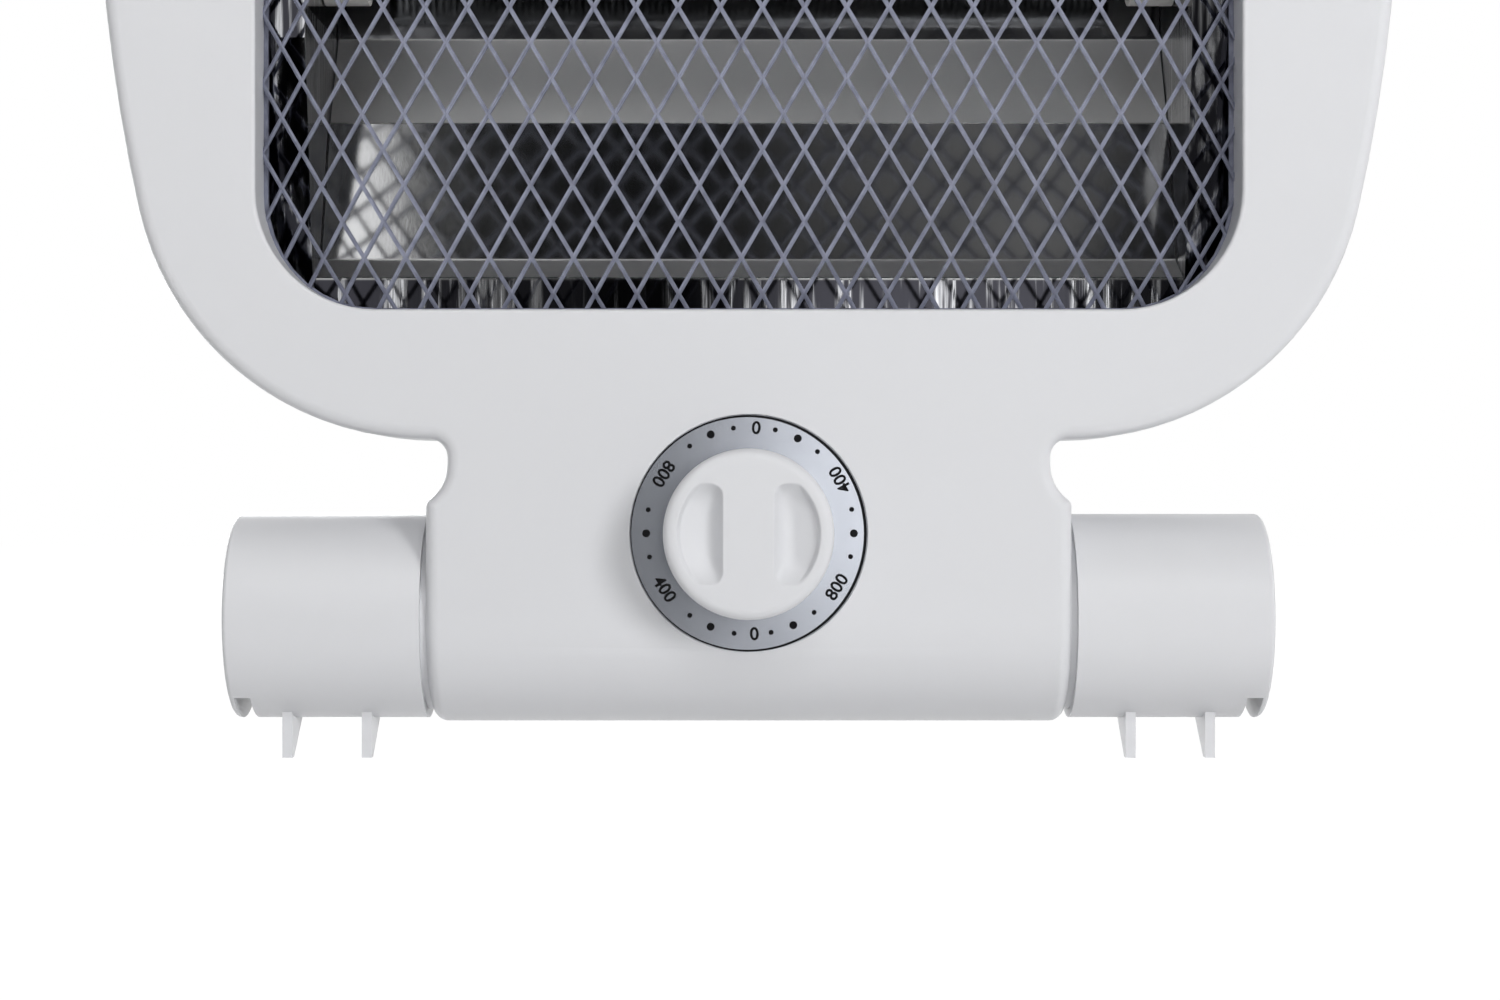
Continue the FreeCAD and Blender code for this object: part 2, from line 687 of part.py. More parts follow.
REFLECTOR_HALF = [
    ("reflector_front", "reflector_height / 2 + reflector_flange"),
    ("reflector_front", "reflector_height / 2"),
    ("reflector_front + reflector_strip_depth", "reflector_height / 2 - reflector_strip_rise"),
    ("reflector_front + reflector_knee_depth", "reflector_knee_height / 2"),
    ("reflector_front + reflector_depth", "reflector_back_height / 2"),
]


# The reflector is a strip of bright sheet folded along its length
def make_reflector():
    folds = [(depth, f"-({up})") for depth, up in REFLECTOR_HALF] + REFLECTOR_HALF[::-1]
    path = doc.addObject("Sketcher::SketchObject", "ReflectorFolds")
    points = [Vector(plain(depth), plain(up)) for depth, up in folds]
    runs = len(points) - 1
    for start, end in zip(points, points[1:]):
        path.addGeometry(Part.LineSegment(start, end))
    wanted = [(Sketcher.Constraint("Coincident", run, 2, run + 1, 1), "") for run in range(runs - 1)]
    for index, (depth, up) in enumerate(folds):
        run, end = (index, 1) if index < runs else (runs - 1, 2)
        wanted.append((Sketcher.Constraint("DistanceX", -1, 1, run, end, points[index].x), depth))
        wanted.append((Sketcher.Constraint("DistanceY", -1, 1, run, end, points[index].y), up))
    pin_down(path, wanted)
    path.Placement.Rotation = Rotation(Vector(0, 1, 0), Vector(0, 0, 1), Vector(1, 0, 0), "XYZ")
    band = doc.addObject("Part::Offset2D", "ReflectorBand")
    band.Source = path
    band.Mode = "Skin"
    band.Join = "Intersection"
    band.Fill = True
    drive(band, Value="gauge")
    folded = doc.addObject("Part::Extrusion", "ReflectorSheet")
    folded.Base = band
    folded.DirMode = "Custom"
    folded.Dir = Vector(1, 0, 0)
    folded.Symmetric = True
    folded.Solid = True
    drive(folded, LengthFwd="reflector_length")
    drills = []
    for x, z in REFLECTOR_SCREWS:
        drill = doc.addObject("Part::Cylinder", "ReflectorHole")
        drill.Placement.Rotation = TO_BACK
        drive(drill, Radius="screw_radius + screw_hole_play", Height="gauge + 2 * overrun",
              Placement__Base__x=x, Placement__Base__y="reflector_front - overrun", Placement__Base__z=z)
        drills.append(drill)
    item = doc.addObject("Part::Cut", "reflector")
    item.Base = folded
    item.Tool = group("ReflectorHoles", drills)
    return drive(item, Placement__Base__y=PANEL_Y, Placement__Base__z=HEAD_Z)


def make_reflector_end(label, side):
    body = new_body(label)
    lap = "end_plate_lap"
    lower = [("end_plate_front", "-end_plate_straight / 2"),
             ("reflector_front", f"-reflector_height / 2 - {lap}")]
    lower += [(f"{depth} + {lap}", f"-({up}) - {lap}") for depth, up in REFLECTOR_HALF[2:]]
    plate = lower + [(depth, f"-({up})") for depth, up in lower[::-1]]
    inner = f"{side} * {END_PLATE_X}"
    toward = "+" if side > 0 else "-"
    grow(body, outline(body, SIDE, plate, place=inner), "gauge", toward)
    edge = [lower[1], lower[0]] + [(depth, f"-({up})") for depth, up in lower[:2]]
    hem = edge + [(f"{depth} + gauge", up) for depth, up in edge[::-1]]
    grow(body, outline(body, SIDE, hem, place=inner), "gauge + end_plate_flange", toward)
    holes = [("tube_depth", f"{z} * tube_spacing / 2") for z in (-1, 1)]
    drill = rounds(body, SIDE, holes, "cap_neck_radius + cap_play",
                   place=f"{side} * ({END_PLATE_X} - overrun)")
    cut(body, drill, "gauge + 2 * overrun", toward)
    return body


def make_tube(name, level):
    height = f"{HEAD_Z} + ({level}) * tube_spacing / 2"
    tube = new_body(f"quartz_tube_{name}", depth="tube_depth", z=height)
    turn(tube, FRONT, [(f"-{TUBE_HALF}", "tube_radius - tube_wall"), (TUBE_HALF, "tube_radius - tube_wall"),
                       (TUBE_HALF, "tube_radius"), (f"-{TUBE_HALF}", "tube_radius")])
    coil = new_body(f"heating_coil_{name}", depth="tube_depth", z=height)
    wound = f"({TUBE_HALF} - coil_margin)"
    right = [(PIN_END, "0"), (PIN_END, "pin_radius"), (wound, "pin_radius"), (wound, "coil_radius")]
    turn(coil, FRONT, right + [(f"-{x}", radius) for x, radius in right[::-1]])
    return [tube, coil]


def make_caps():
    caps = []
    for side in (-1, 1):
        for level in (-1, 1):
            body = new_body("EndCap", depth="tube_depth", z=f"{HEAD_Z} + ({level}) * tube_spacing / 2")
            bore = "pin_radius + pin_play"
            seat = f"({CAP_IN} + cap_length)"
            socket = f"({CAP_IN} + cap_socket)"
            corners = [(CAP_IN, "tube_radius + pin_play"), (CAP_IN, "cap_radius"), (seat, "cap_radius"),
                       (seat, "cap_neck_radius"), (CAP_OUT, "cap_neck_radius"), (CAP_OUT, bore),
                       (socket, bore), (socket, "tube_radius + pin_play")]
            turn(body, FRONT, [(f"{side} * {x}", radius) for x, radius in corners])
            caps.append(body)
    return group("ceramic_end_caps", caps)


def make_dial_plate():
    body = new_body("dial_plate", depth=DIAL_FRONT, z=f"{AXIS_Z} + dial_rise")
    grow(body, rounds(body, FRONT, [("0", "0")], "dial_radius"), "dial_gauge")
    cut(body, rounds(body, FRONT, [("0", "0")], "bushing_radius + bushing_play", place="-overrun"),
        "dial_gauge + 2 * overrun")
    return body


def make_rotary_switch():
    body = new_body("rotary_switch", z=f"{AXIS_Z} + dial_rise")
    case = rounded_box("switch_size", "switch_size", "bushing_radius")
    grow(body, outline(body, FRONT, case, place="wall"), "switch_depth")
    bushing = rounds(body, FRONT, [("0", "0")], "bushing_radius", place="-bushing_reach")
    grow(body, bushing, "bushing_reach + 2 * wall")
    bore = rounds(body, FRONT, [("0", "0")], "shaft_radius + shaft_play", place="-bushing_reach - overrun")
    cut(body, bore, "bushing_reach + overrun + shaft_tail + shaft_play")
    return body


def make_switch_nut():
    body = new_body("switch_nut", depth=f"{DIAL_FRONT} - nut_thickness", z=f"{AXIS_Z} + dial_rise")
    corner = "nut_across / sqrt(3)"
    angles = [f"({k} * 360 / {NUT_SIDES})" for k in range(NUT_SIDES)]
    hexagon = [(f"{corner} * cos({angle})", f"{corner} * sin({angle})") for angle in angles]
    grow(body, outline(body, FRONT, hexagon), "nut_thickness")
    cut(body, rounds(body, FRONT, [("0", "0")], "bushing_radius + shaft_play", place="-overrun"),
        "nut_thickness + 2 * overrun")
    return body


# A round bar or bore with one flat, seen along its axis
def flatted(play):
    radius, flat = f"shaft_radius + {play}", f"shaft_radius - shaft_flat + {play}"
    reach = f"sqrt(({radius})^2 - ({flat})^2)"
    return [(reach, flat), (f"-{reach}", flat, radius, LEFT), ("0", f"-({radius})", radius, LEFT)]


def make_switch_shaft():
    body = new_body("switch_shaft", z=f"{AXIS_Z} + dial_rise")
    stem = rounds(body, FRONT, [("0", "0")], "shaft_radius", place="-bushing_reach")
    grow(body, stem, "bushing_reach + shaft_tail")
    grow(body, outline(body, FRONT, flatted("0"), place="-bushing_reach"), "shaft_reach - bushing_reach", "-")
    return body


# A finger scoop falls from the knob's rim to a steep wall beside the middle bar
def make_scoop(side):
    body = new_body("Scoop", z=f"{AXIS_Z} + dial_rise")
    bar, rim = f"{side} * scoop_bar / 2", f"{side} * scoop_radius"
    face, above = "-knob_proud", "-knob_proud - overrun"
    ramp = [(bar, above), (rim, above), (rim, f"{face} + scoop_brim"), (bar, f"{face} + scoop_depth")]
    grow(body, outline(body, TOP, ramp), "scoop_height", "both")
    wall = plain(bar)
    round_edges(body, "scoop_round", lambda edge: at_across(edge, wall) and edge.BoundBox.ZLength < EPSILON)
    return body


def make_knob():
    body = new_body("KnobBlank", z=f"{AXIS_Z} + dial_rise")
    base = f"({DIAL_FRONT} - knob_lift)"
    face = "-knob_proud"
    turn(body, SIDE, [(face, "0"), (base, "0"), (base, "knob_base_radius"),
                      (f"{face} + knob_round", "knob_face_radius", "knob_round", LEFT),
                      (face, "knob_face_radius - knob_round")])
    hollow = rounds(body, FRONT, [("0", "0")], "knob_hollow_radius", place=base)
    cut(body, hollow, "knob_hollow_depth", "-")
    bore = outline(body, FRONT, flatted("shaft_play"), place=base)
    cut(body, bore, f"shaft_reach + {base} + shaft_play", "-")
    scoops = doc.addObject("Part::Common", "Scoops")
    scoops.Base = group("ScoopRamps", [make_scoop(side) for side in (-1, 1)])
    scoops.Tool = doc.addObject("Part::Cylinder", "ScoopLimit")
    scoops.Tool.Placement.Rotation = TO_BACK
    drive(scoops.Tool, Radius="scoop_radius", Height="knob_proud + overrun",
          Placement__Base__y=f"{PANEL_Y} - knob_proud - overrun", Placement__Base__z=f"{AXIS_Z} + dial_rise")
    item = doc.addObject("Part::Cut", "knob")
    item.Base = body
    item.Tool = scoops
    return item


# The spigot carries the hub: a ring trapped in the barrel's end, closed by a web with a screw boss
def make_spigot(label, side):
    body = new_body(label, depth="barrel_radius", z=AXIS_Z)
    bore = f"({SPIGOT_R} - spigot_wall)"
    shoulder = "(barrel_length / 2 - wall - spigot_play)"
    root = f"({shoulder} - spigot_flange_thickness)"
    web = f"({WEB_OUT} - spigot_web)"
    boss = f"({WEB_OUT} - spigot_boss_length)"
    corners = [(root, bore), (root, f"{SPIGOT_R} + spigot_flange"), (shoulder, f"{SPIGOT_R} + spigot_flange"),
               (shoulder, SPIGOT_R), (WEB_OUT, SPIGOT_R), (WEB_OUT, PILOT_R), (boss, PILOT_R),
               (boss, "spigot_boss_radius"), (web, "spigot_boss_radius"), (web, bore)]
    turn(body, FRONT, [(f"{side} * {x}", radius) for x, radius in corners])
    swing = "(tilt_angle * 1 deg + asin(peg_radius / peg_offset))"
    inner, outer = "(peg_offset - peg_radius - peg_play)", "(peg_offset + peg_radius + peg_play)"
    slot = [(f"{outer} * sin({swing})", f"{outer} * cos({swing})", outer, LEFT),
            (f"-{outer} * sin({swing})", f"{outer} * cos({swing})"),
            (f"-{inner} * sin({swing})", f"{inner} * cos({swing})", inner, RIGHT),
            (f"{inner} * sin({swing})", f"{inner} * cos({swing})")]
    cut(body, outline(body, SIDE, slot, place=f"{side} * ({web} - overrun)"), "spigot_web + 2 * overrun",
        "+" if side > 0 else "-")
    return body


def make_foot_hub(label, side):
    body = new_body(label, depth="barrel_radius", z=AXIS_Z)
    inward, outward = ("-", "+") if side > 0 else ("+", "-")
    corners = [(HUB_START, "0"), (HUB_END, "0"), (HUB_END, "hub_radius"), (HUB_START, "hub_radius")]
    turn(body, FRONT, [(f"{side} * {x}", radius) for x, radius in corners])
    end = side * plain(HUB_END)
    round_edges(body, "hub_end_round", lambda edge: at_across(edge, end))
    tip, back = "-hub_radius - rib_drop", "rib_root - rib_front"
    rib = [("-rib_front", "0"), ("-rib_front", tip), ("rib_tip - rib_front", tip),
           (back, f"-sqrt(hub_radius^2 - ({back})^2)"), (back, "0")]
    for share in (-1, 1):
        middle = f"{side} * ({HUB_START} + hub_length / 2 + rib_shift + ({share}) * rib_spacing / 2)"
        grow(body, outline(body, SIDE, rib, place=middle), "rib_thickness", "both")
    cut(body, rounds(body, SIDE, [("0", "0")], HUB_BORE, place=f"{side} * ({HUB_START} - overrun)"),
        "hub_length - hub_end_wall + overrun", outward)
    slot_end = f"({HUB_INSIDE} - hub_slot_width)"
    slot_top, slot_low = "hub_slot_rise - hub_radius", "-hub_radius - overrun"
    slot = [(f"{side} * {slot_end}", slot_low), (f"{side} * {HUB_INSIDE}", slot_low),
            (f"{side} * {HUB_INSIDE}", slot_top), (f"{side} * {slot_end}", slot_top)][::side]
    cut(body, outline(body, FRONT, slot), "2 * hub_radius", "both")
    within = f"({HUB_END} - hub_end_wall / 2)"
    grow(body, rounds(body, SIDE, [("0", "0")], "hub_boss_radius", place=f"{side} * {within}"),
         f"{within} - {BOSS_IN}", inward)
    cut(body, rounds(body, SIDE, [("0", "0")], "screw_well_radius", place=f"{side} * ({HUB_END} + overrun)"),
        f"{HUB_END} + overrun - {BOSS_SEAT}", inward)
    cut(body, rounds(body, SIDE, [("0", "0")], "screw_radius + screw_hole_play",
                     place=f"{side} * ({BOSS_SEAT} + overrun)"), "hub_boss_floor + 2 * overrun", inward)
    grow(body, rounds(body, SIDE, [("0", "peg_offset")], "peg_radius", place=f"{side} * {within}"),
         f"{within} - {WEB_OUT} + spigot_web", inward)
    return body


# A pan-head screw along Y, its head towards the back, or along X, its head outwards
def make_screw(plane, side, length, **place):
    body = new_body("Screw", **place)
    corners = [(f"-({length})", "0"), ("screw_head_height", "0"), ("screw_head_height", "screw_head_radius"),
               ("0", "screw_head_radius"), ("0", "screw_radius"), (f"-({length})", "screw_radius")]
    turn(body, plane, [(f"{side} * ({x})", radius) for x, radius in corners])
    return body


def make_screws():
    seat = "barrel_radius + post_floor"
    housing = [make_screw(SIDE, 1, "screw_length", x=x, depth=seat, z=f"{AXIS_Z} + {z}")
               for x, z in HEAD_SCREWS + BARREL_SCREWS]
    flange = "reflector_front + gauge"
    reflector = [make_screw(SIDE, 1, "reflector_screw_length", x=x, depth=flange, z=f"{HEAD_Z} + {z}")
                 for x, z in REFLECTOR_SCREWS]
    pivots, washers = [], []
    for side in (-1, 1):
        seat = f"({BOSS_SEAT} + bearing_play)"
        top = f"{seat} + washer_thickness"
        pivots.append(make_screw(FRONT, side, "screw_length", x=f"{side} * ({top})", depth="barrel_radius",
                                 z=AXIS_Z))
        washer = new_body("Washer", x=f"{side} * {seat}", depth="barrel_radius", z=AXIS_Z)
        hole, rim, thick = "screw_radius + screw_play", "screw_head_radius + bearing_play", "washer_thickness"
        ring = [("0", hole), (thick, hole), (thick, rim), ("0", rim)]
        turn(washer, FRONT, [(f"{side} * {x}", radius) for x, radius in ring])
        washers.append(washer)
    return [group("housing_screws", housing), group("reflector_screws", reflector),
            group("hub_screws", pivots), group("hub_washers", washers)]


def make_cord_bush():
    body = new_body("cord_bush", x="cord_across", depth="2 * barrel_radius", z=f"{AXIS_Z} + cord_rise")
    inside, play = "-wall - bush_play", "bush_play"
    turn(body, SIDE, [(f"{inside} - bush_flange", "cord_radius"), (f"{play} + bush_flange", "cord_radius"),
                      (f"{play} + bush_flange", "bush_flange_radius"), (play, "bush_flange_radius"),
                      (play, "bush_radius"), (inside, "bush_radius"), (inside, "bush_flange_radius"),
                      (f"{inside} - bush_flange", "bush_flange_radius")])
    return body


def make_block(label, x, up, width, depth, height):
    item = doc.addObject("Part::Box", label)
    back = "2 * barrel_radius - wall"
    return drive(item, Length=width, Width=depth, Height=height, Placement__Base__x=f"{x} - ({width}) / 2",
                 Placement__Base__y=f"{PANEL_Y} + {back} - {depth}",
                 Placement__Base__z=f"{AXIS_Z} + {up} - ({height}) / 2")


def make_thermal_cutout():
    item = doc.addObject("Part::Cylinder", "thermal_cutout")
    item.Placement.Rotation = TO_BACK
    back = "reflector_front + reflector_depth + gauge"
    return drive(item, Radius="cutout_radius", Height="cutout_height", Placement__Base__x="cutout_across",
                 Placement__Base__y=f"{PANEL_Y} + {back}", Placement__Base__z=HEAD_Z)


# A lead is a slim eight-sided bar whose straight runs meet in mitred corners
def lead_solid(points, radius):
    along = (points[1] - points[0]).normalize()
    spoke = along.cross(Vector(0, 0, 1)).normalize() * radius
    spokes = [Rotation(along, 360 * k / LEAD_SIDES).multVec(spoke) for k in range(LEAD_SIDES)]
    corners = [points[0] + spoke for spoke in spokes]
    ring = Part.makePolygon(corners + corners[:1])
    return Part.makePolygon(points).makePipeShell([ring], True, False, MITRED)


def make_leads():
    radius, gap, clear = plain("lead_radius"), plain("lead_gap"), plain("lead_clear")
    depth, level = plain("tube_depth"), plain("tube_spacing / 2")
    start = plain(PIN_END) + gap
    floor = plain("neck_rise - head_rise + wall") + clear
    switch = Vector(plain("switch_size / 4"), plain("wall + switch_depth") + gap,
                    plain("dial_rise - head_rise"))
    block = Vector(-plain("terminal_across"), plain("2 * barrel_radius - wall - terminal_depth") - gap,
                   plain("terminal_rise - head_rise"))
    outer = plain("head_screws_across / 2 + post_radius + lead_radius + lead_gap + lead_pitch")
    solids = []
    for side in (-1, 1):
        for order, z in enumerate((level, -level)):
            step = order * plain("lead_pitch")
            down = outer - step
            knee = plain(FLOOR_X) + step
            base = depth - step
            apart = (1, -1)[order]
            if side > 0:
                end = Vector(switch.x * apart, switch.y, switch.z + apart * plain("lead_pitch"))
                near = end + Vector(0, clear, 0)
            else:
                end = Vector(block.x - apart * plain("terminal_width / 4"), block.y, block.z)
                near = end - Vector(0, clear, 0)
            route = [Vector(side * start, depth, z), Vector(side * down, depth, z),
                     Vector(side * down, base, floor + plain("lead_lift") + step),
                     Vector(side * knee, base, floor + step),
                     Vector(side * knee / 2, (base + near.y) / 2, floor - clear - step),
                     near, end]
            solids.append(lead_solid(route, radius))
    item = doc.addObject("Part::Feature", "heater_leads")
    item.Shape = Part.makeCompound(solids)
    item.Placement.Base = Vector(0, plain(PANEL_Y), plain(HEAD_Z))
    return item


parts = [
    make_front_bezel(),
    make_rear_cover(),
    make_guard_mesh(),
    make_reflector(),
    make_reflector_end("reflector_end_left", -1),
    make_reflector_end("reflector_end_right", 1),
    *make_tube("lower", -1),
    *make_tube("upper", 1),
    make_caps(),
    make_dial_plate(),
    make_rotary_switch(),
    make_switch_nut(),
    make_switch_shaft(),
    make_knob(),
    make_spigot("pivot_spigot_left", -1),
    make_spigot("pivot_spigot_right", 1),
    make_foot_hub("left_foot_hub", -1),
    make_foot_hub("right_foot_hub", 1),
    *make_screws(),
    make_cord_bush(),
    make_block("tilt_switch", "-tilt_switch_across", "tilt_switch_rise", "tilt_switch_width",
               "tilt_switch_depth", "tilt_switch_height"),
    make_block("terminal_block", "-terminal_across", "terminal_rise", "terminal_width",
               "terminal_depth", "terminal_height"),
    make_thermal_cutout(),
    make_leads(),
]
doc.recompute()

for item in doc.Objects:
    if "Invalid" in item.State or "Error" in item.State:
        raise ValueError(f"{item.Label} failed: {item.State}")
for item in parts:
    if item.Shape.isNull() or not item.Shape.isValid():
        raise ValueError(f"{item.Label} has no valid shape")

os.makedirs("parts", exist_ok=True)
for item in parts:
    item.Shape.exportStep(f"parts/{item.Label}.step")
    print(item.Label, len(item.Shape.Solids), round(item.Shape.Volume))
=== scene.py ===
import json
import math

import bmesh
import bpy
from mathutils import Matrix, Vector


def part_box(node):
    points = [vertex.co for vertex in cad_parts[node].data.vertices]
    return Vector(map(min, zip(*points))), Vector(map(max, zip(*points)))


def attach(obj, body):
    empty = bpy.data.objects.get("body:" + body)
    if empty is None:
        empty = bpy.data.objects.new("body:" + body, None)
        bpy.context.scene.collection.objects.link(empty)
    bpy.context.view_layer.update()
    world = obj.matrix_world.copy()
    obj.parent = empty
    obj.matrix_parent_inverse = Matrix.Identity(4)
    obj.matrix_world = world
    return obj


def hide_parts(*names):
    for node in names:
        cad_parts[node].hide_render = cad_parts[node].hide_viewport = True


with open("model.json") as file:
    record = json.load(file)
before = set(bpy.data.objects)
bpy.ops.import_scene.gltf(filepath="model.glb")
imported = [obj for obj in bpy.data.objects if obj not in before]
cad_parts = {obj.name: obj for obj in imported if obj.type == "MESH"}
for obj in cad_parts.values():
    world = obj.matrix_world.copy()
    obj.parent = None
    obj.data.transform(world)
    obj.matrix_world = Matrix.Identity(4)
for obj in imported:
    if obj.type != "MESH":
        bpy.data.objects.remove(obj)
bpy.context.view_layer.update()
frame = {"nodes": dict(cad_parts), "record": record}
scene = bpy.context.scene
scene.view_settings.view_transform = "Standard"
mm = 0.001
back = Vector((0, 1, 0))
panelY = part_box("front_bezel")[0].y  # the front panel's plane; depths count back from it
headZ = (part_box("reflector")[0].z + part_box("reflector")[1].z) / 2
dialZ = (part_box("dial_plate")[0].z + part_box("dial_plate")[1].z) / 2
bodyOf = {node: body for body, nodes in frame["record"]["behaviour"]["bodies"].items() for node in nodes}
slotOf = {row["node"]: row["material_slot"] for row in frame["record"]["subparts"]}
print("frame loaded:", len(bodyOf), "pieces")


# Camera: straight on, level with the dial, close enough that only the lower head shows
photoCamera = {"across": 0.3 * mm, "distance": 650 * mm, "height": 59.4 * mm, "lens": 69.3, "sensor": 36.0}
cameraData = bpy.data.cameras.new("PhotoCamera")
cameraData.lens, cameraData.sensor_width = photoCamera["lens"], photoCamera["sensor"]
camera = bpy.data.objects.new("PhotoCamera", cameraData)
scene.collection.objects.link(camera)
camera.location = (photoCamera["across"], panelY - photoCamera["distance"], photoCamera["height"])
camera.rotation_euler = (math.radians(90), 0, 0)
scene.camera = camera
print("camera set")


class Signal:
    def __init__(self, tree, socket):
        self.tree, self.socket = tree, socket

    def node(self, kind, settings=None, sockets=None, out=0):
        made = self.tree.nodes.new(kind)
        for name, value in (settings or {}).items():
            if name == "stops":
                ramp = made.color_ramp.elements
                while len(ramp) < len(value):
                    ramp.new(1.0)
                for element, (position, colour) in zip(ramp, value):
                    element.position, element.color = position, colour
            else:
                setattr(made, name, value)
        for key, value in (sockets or {}).items():
            join(self.tree, value, made.inputs[key])
        return Signal(self.tree, made.outputs[out])

    def maths(self, operation, first, second):
        return self.node("ShaderNodeMath", {"operation": operation}, {0: first, 1: second})

    def __add__(self, other):
        return self.maths("ADD", self, other)

    def __mul__(self, other):
        return self.maths("MULTIPLY", self, other)

    def __sub__(self, other):
        return self.maths("SUBTRACT", self, other)

    def __rsub__(self, other):
        return self.maths("SUBTRACT", other, self)

    __radd__, __rmul__ = __add__, __mul__


def join(tree, value, socket):
    if isinstance(value, Signal):
        tree.links.new(value.socket, socket)
    else:
        socket.default_value = value


def newFinish(name):
    material = bpy.data.materials.new(name)
    material.use_nodes = True
    tree = material.node_tree
    place = Signal(tree, tree.nodes.new("ShaderNodeTexCoord").outputs["Object"])
    return material, place


def setShader(material, **sockets):
    tree = material.node_tree
    for name, value in sockets.items():
        join(tree, value, tree.nodes["Principled BSDF"].inputs[name.replace("_", " ")])


def noise(place, scale, detail=3.0, stretch=(1, 1, 1)):
    if stretch != (1, 1, 1):
        place = place.node("ShaderNodeMapping", None, {"Vector": place, "Scale": stretch})
    return place.node("ShaderNodeTexNoise", None, {"Vector": place, "Scale": scale, "Detail": detail})


def spread(signal, low, high):  # a noise's middle range, opened to 0..1
    ends = {"Value": signal, "From Min": low, "From Max": high}
    return signal.node("ShaderNodeMapRange", {"interpolation_type": "SMOOTHSTEP"}, ends)


def between(factor, first, second):
    ends = [tone if isinstance(tone, Signal) else (*tone, 1) for tone in (first, second)]
    return factor.node("ShaderNodeMix", {"data_type": "RGBA"}, {0: factor, 6: ends[0], 7: ends[1]}, 2)


def bump(height, strength, distance):
    sockets = {"Strength": strength, "Distance": distance, "Height": height}
    return height.node("ShaderNodeBump", None, sockets)


# In a look, a noise is its scale, detail and stretch, a span the range used of it, relief strength and depth
def whitePlastic():
    look = {"tone": (0.700, 0.706, 0.728), "warm": (0.690, 0.694, 0.714), "rough": 0.31, "smear": 0.07,
            "cloud": (14, 1), "grain": (2400, 2), "relief": (0.05, 0.02 * mm), "coat": 0.05, "coatRough": 0.2}
    material, place = newFinish("WhitePlastic")
    cloud = noise(place, *look["cloud"])
    grain = noise(place, *look["grain"])
    setShader(material, Base_Color=between(cloud, look["tone"], look["warm"]),
              Roughness=look["rough"] + look["smear"] * cloud, Normal=bump(grain, *look["relief"]))
    setShader(material, Coat_Weight=look["coat"], Coat_Roughness=look["coatRough"])
    return material


def guardPaint():
    look = {"tone": (0.27, 0.285, 0.37), "dark": (0.19, 0.20, 0.265), "metal": 0.45, "rough": 0.3,
            "grit": 0.15, "cloud": (300, 4), "cloudSpan": (0.35, 0.7), "grain": (3000, 3),
            "relief": (0.12, 0.03 * mm)}
    material, place = newFinish("GuardPaint")
    cloud = spread(noise(place, *look["cloud"]), *look["cloudSpan"])
    grain = noise(place, *look["grain"])
    setShader(material, Base_Color=between(cloud, look["tone"], look["dark"]), Metallic=look["metal"],
              Roughness=look["rough"] + look["grit"] * grain, Normal=bump(grain, *look["relief"]))
    return material


# Bright sheet: mirror and satin folds by height, darkened behind the tubes as painted shade, with painted
# reflection streaks on the crumpled flanges
def brightSheet():
    look = {"tone": (0.48, 0.484, 0.49), "dull": (0.40, 0.404, 0.41), "paintedDark": (0.16, 0.163, 0.172),
            "matt": (0.86, 0.86, 0.86), "dark": (0.05, 0.05, 0.06), "bright": (0.80, 0.81, 0.84),
            "rough": 0.07, "brushed": 0.04, "satin": 0.36, "brush": (1500, 5, (1, 1, 0.012)),
            "tarnish": (24, 4), "tarnishSpan": (0.4, 0.75), "streak": (420, 4, (1, 1, 0.05)),
            "streakSpan": (0.5, 0.68), "brushRise": 0.35, "streakRise": 2.0, "relief": (0.12, 0.05 * mm),
            "edge": 0.6 * mm, "trough": 99.5 * mm,
            "satinFolds": ((37.5 * mm, 60.0 * mm), (94.3 * mm, 99.5 * mm))}
    material, place = newFinish("BrightSheet")
    x, z = (place.node("ShaderNodeSeparateXYZ", None, {0: place}, out) for out in (0, 2))
    rise = (z - headZ).maths("ABSOLUTE", z - headZ, 0.0)
    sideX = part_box("reflector")[1].x
    beside = spread(x.maths("ABSOLUTE", x, 0.0), sideX, sideX + look["edge"])
    above = spread(rise, look["trough"], look["trough"] + look["edge"])
    flange = beside.maths("MAXIMUM", beside, above)
    folds = [spread(rise, low - look["edge"], low) - spread(rise, high - look["edge"], high)
             for low, high in look["satinFolds"]]
    satin = (folds[0] + folds[1]) * (1 - flange)
    brush = noise(place, *look["brush"])
    tarnish = spread(noise(place, *look["tarnish"]), *look["tarnishSpan"])
    streak = spread(noise(place, *look["streak"]), *look["streakSpan"])
    # Painted reflection: dark and bright streaks in the flanges' colour stand in for reflections in crumpled
    # foil; the crumple itself is the relief below
    paintedStreaks = between(streak, look["dark"], look["bright"])
    clean = between(tarnish, look["tone"], look["dull"])
    # Painted shade: behind the tubes, inside the first satin fold, the mirror's colour is darkened to stand
    # in for a dark reflection
    firstFold = look["satinFolds"][0][0]
    pastPaintedDark = spread(rise, firstFold - look["edge"], firstFold)
    trough = between(satin, between(pastPaintedDark, look["paintedDark"], clean), look["matt"])
    height = look["brushRise"] * brush + flange * streak * look["streakRise"]
    setShader(material, Base_Color=between(flange, trough, paintedStreaks), Metallic=1.0,
              Roughness=look["rough"] + look["brushed"] * brush + look["satin"] * satin,
              Normal=bump(height, *look["relief"]))
    return material


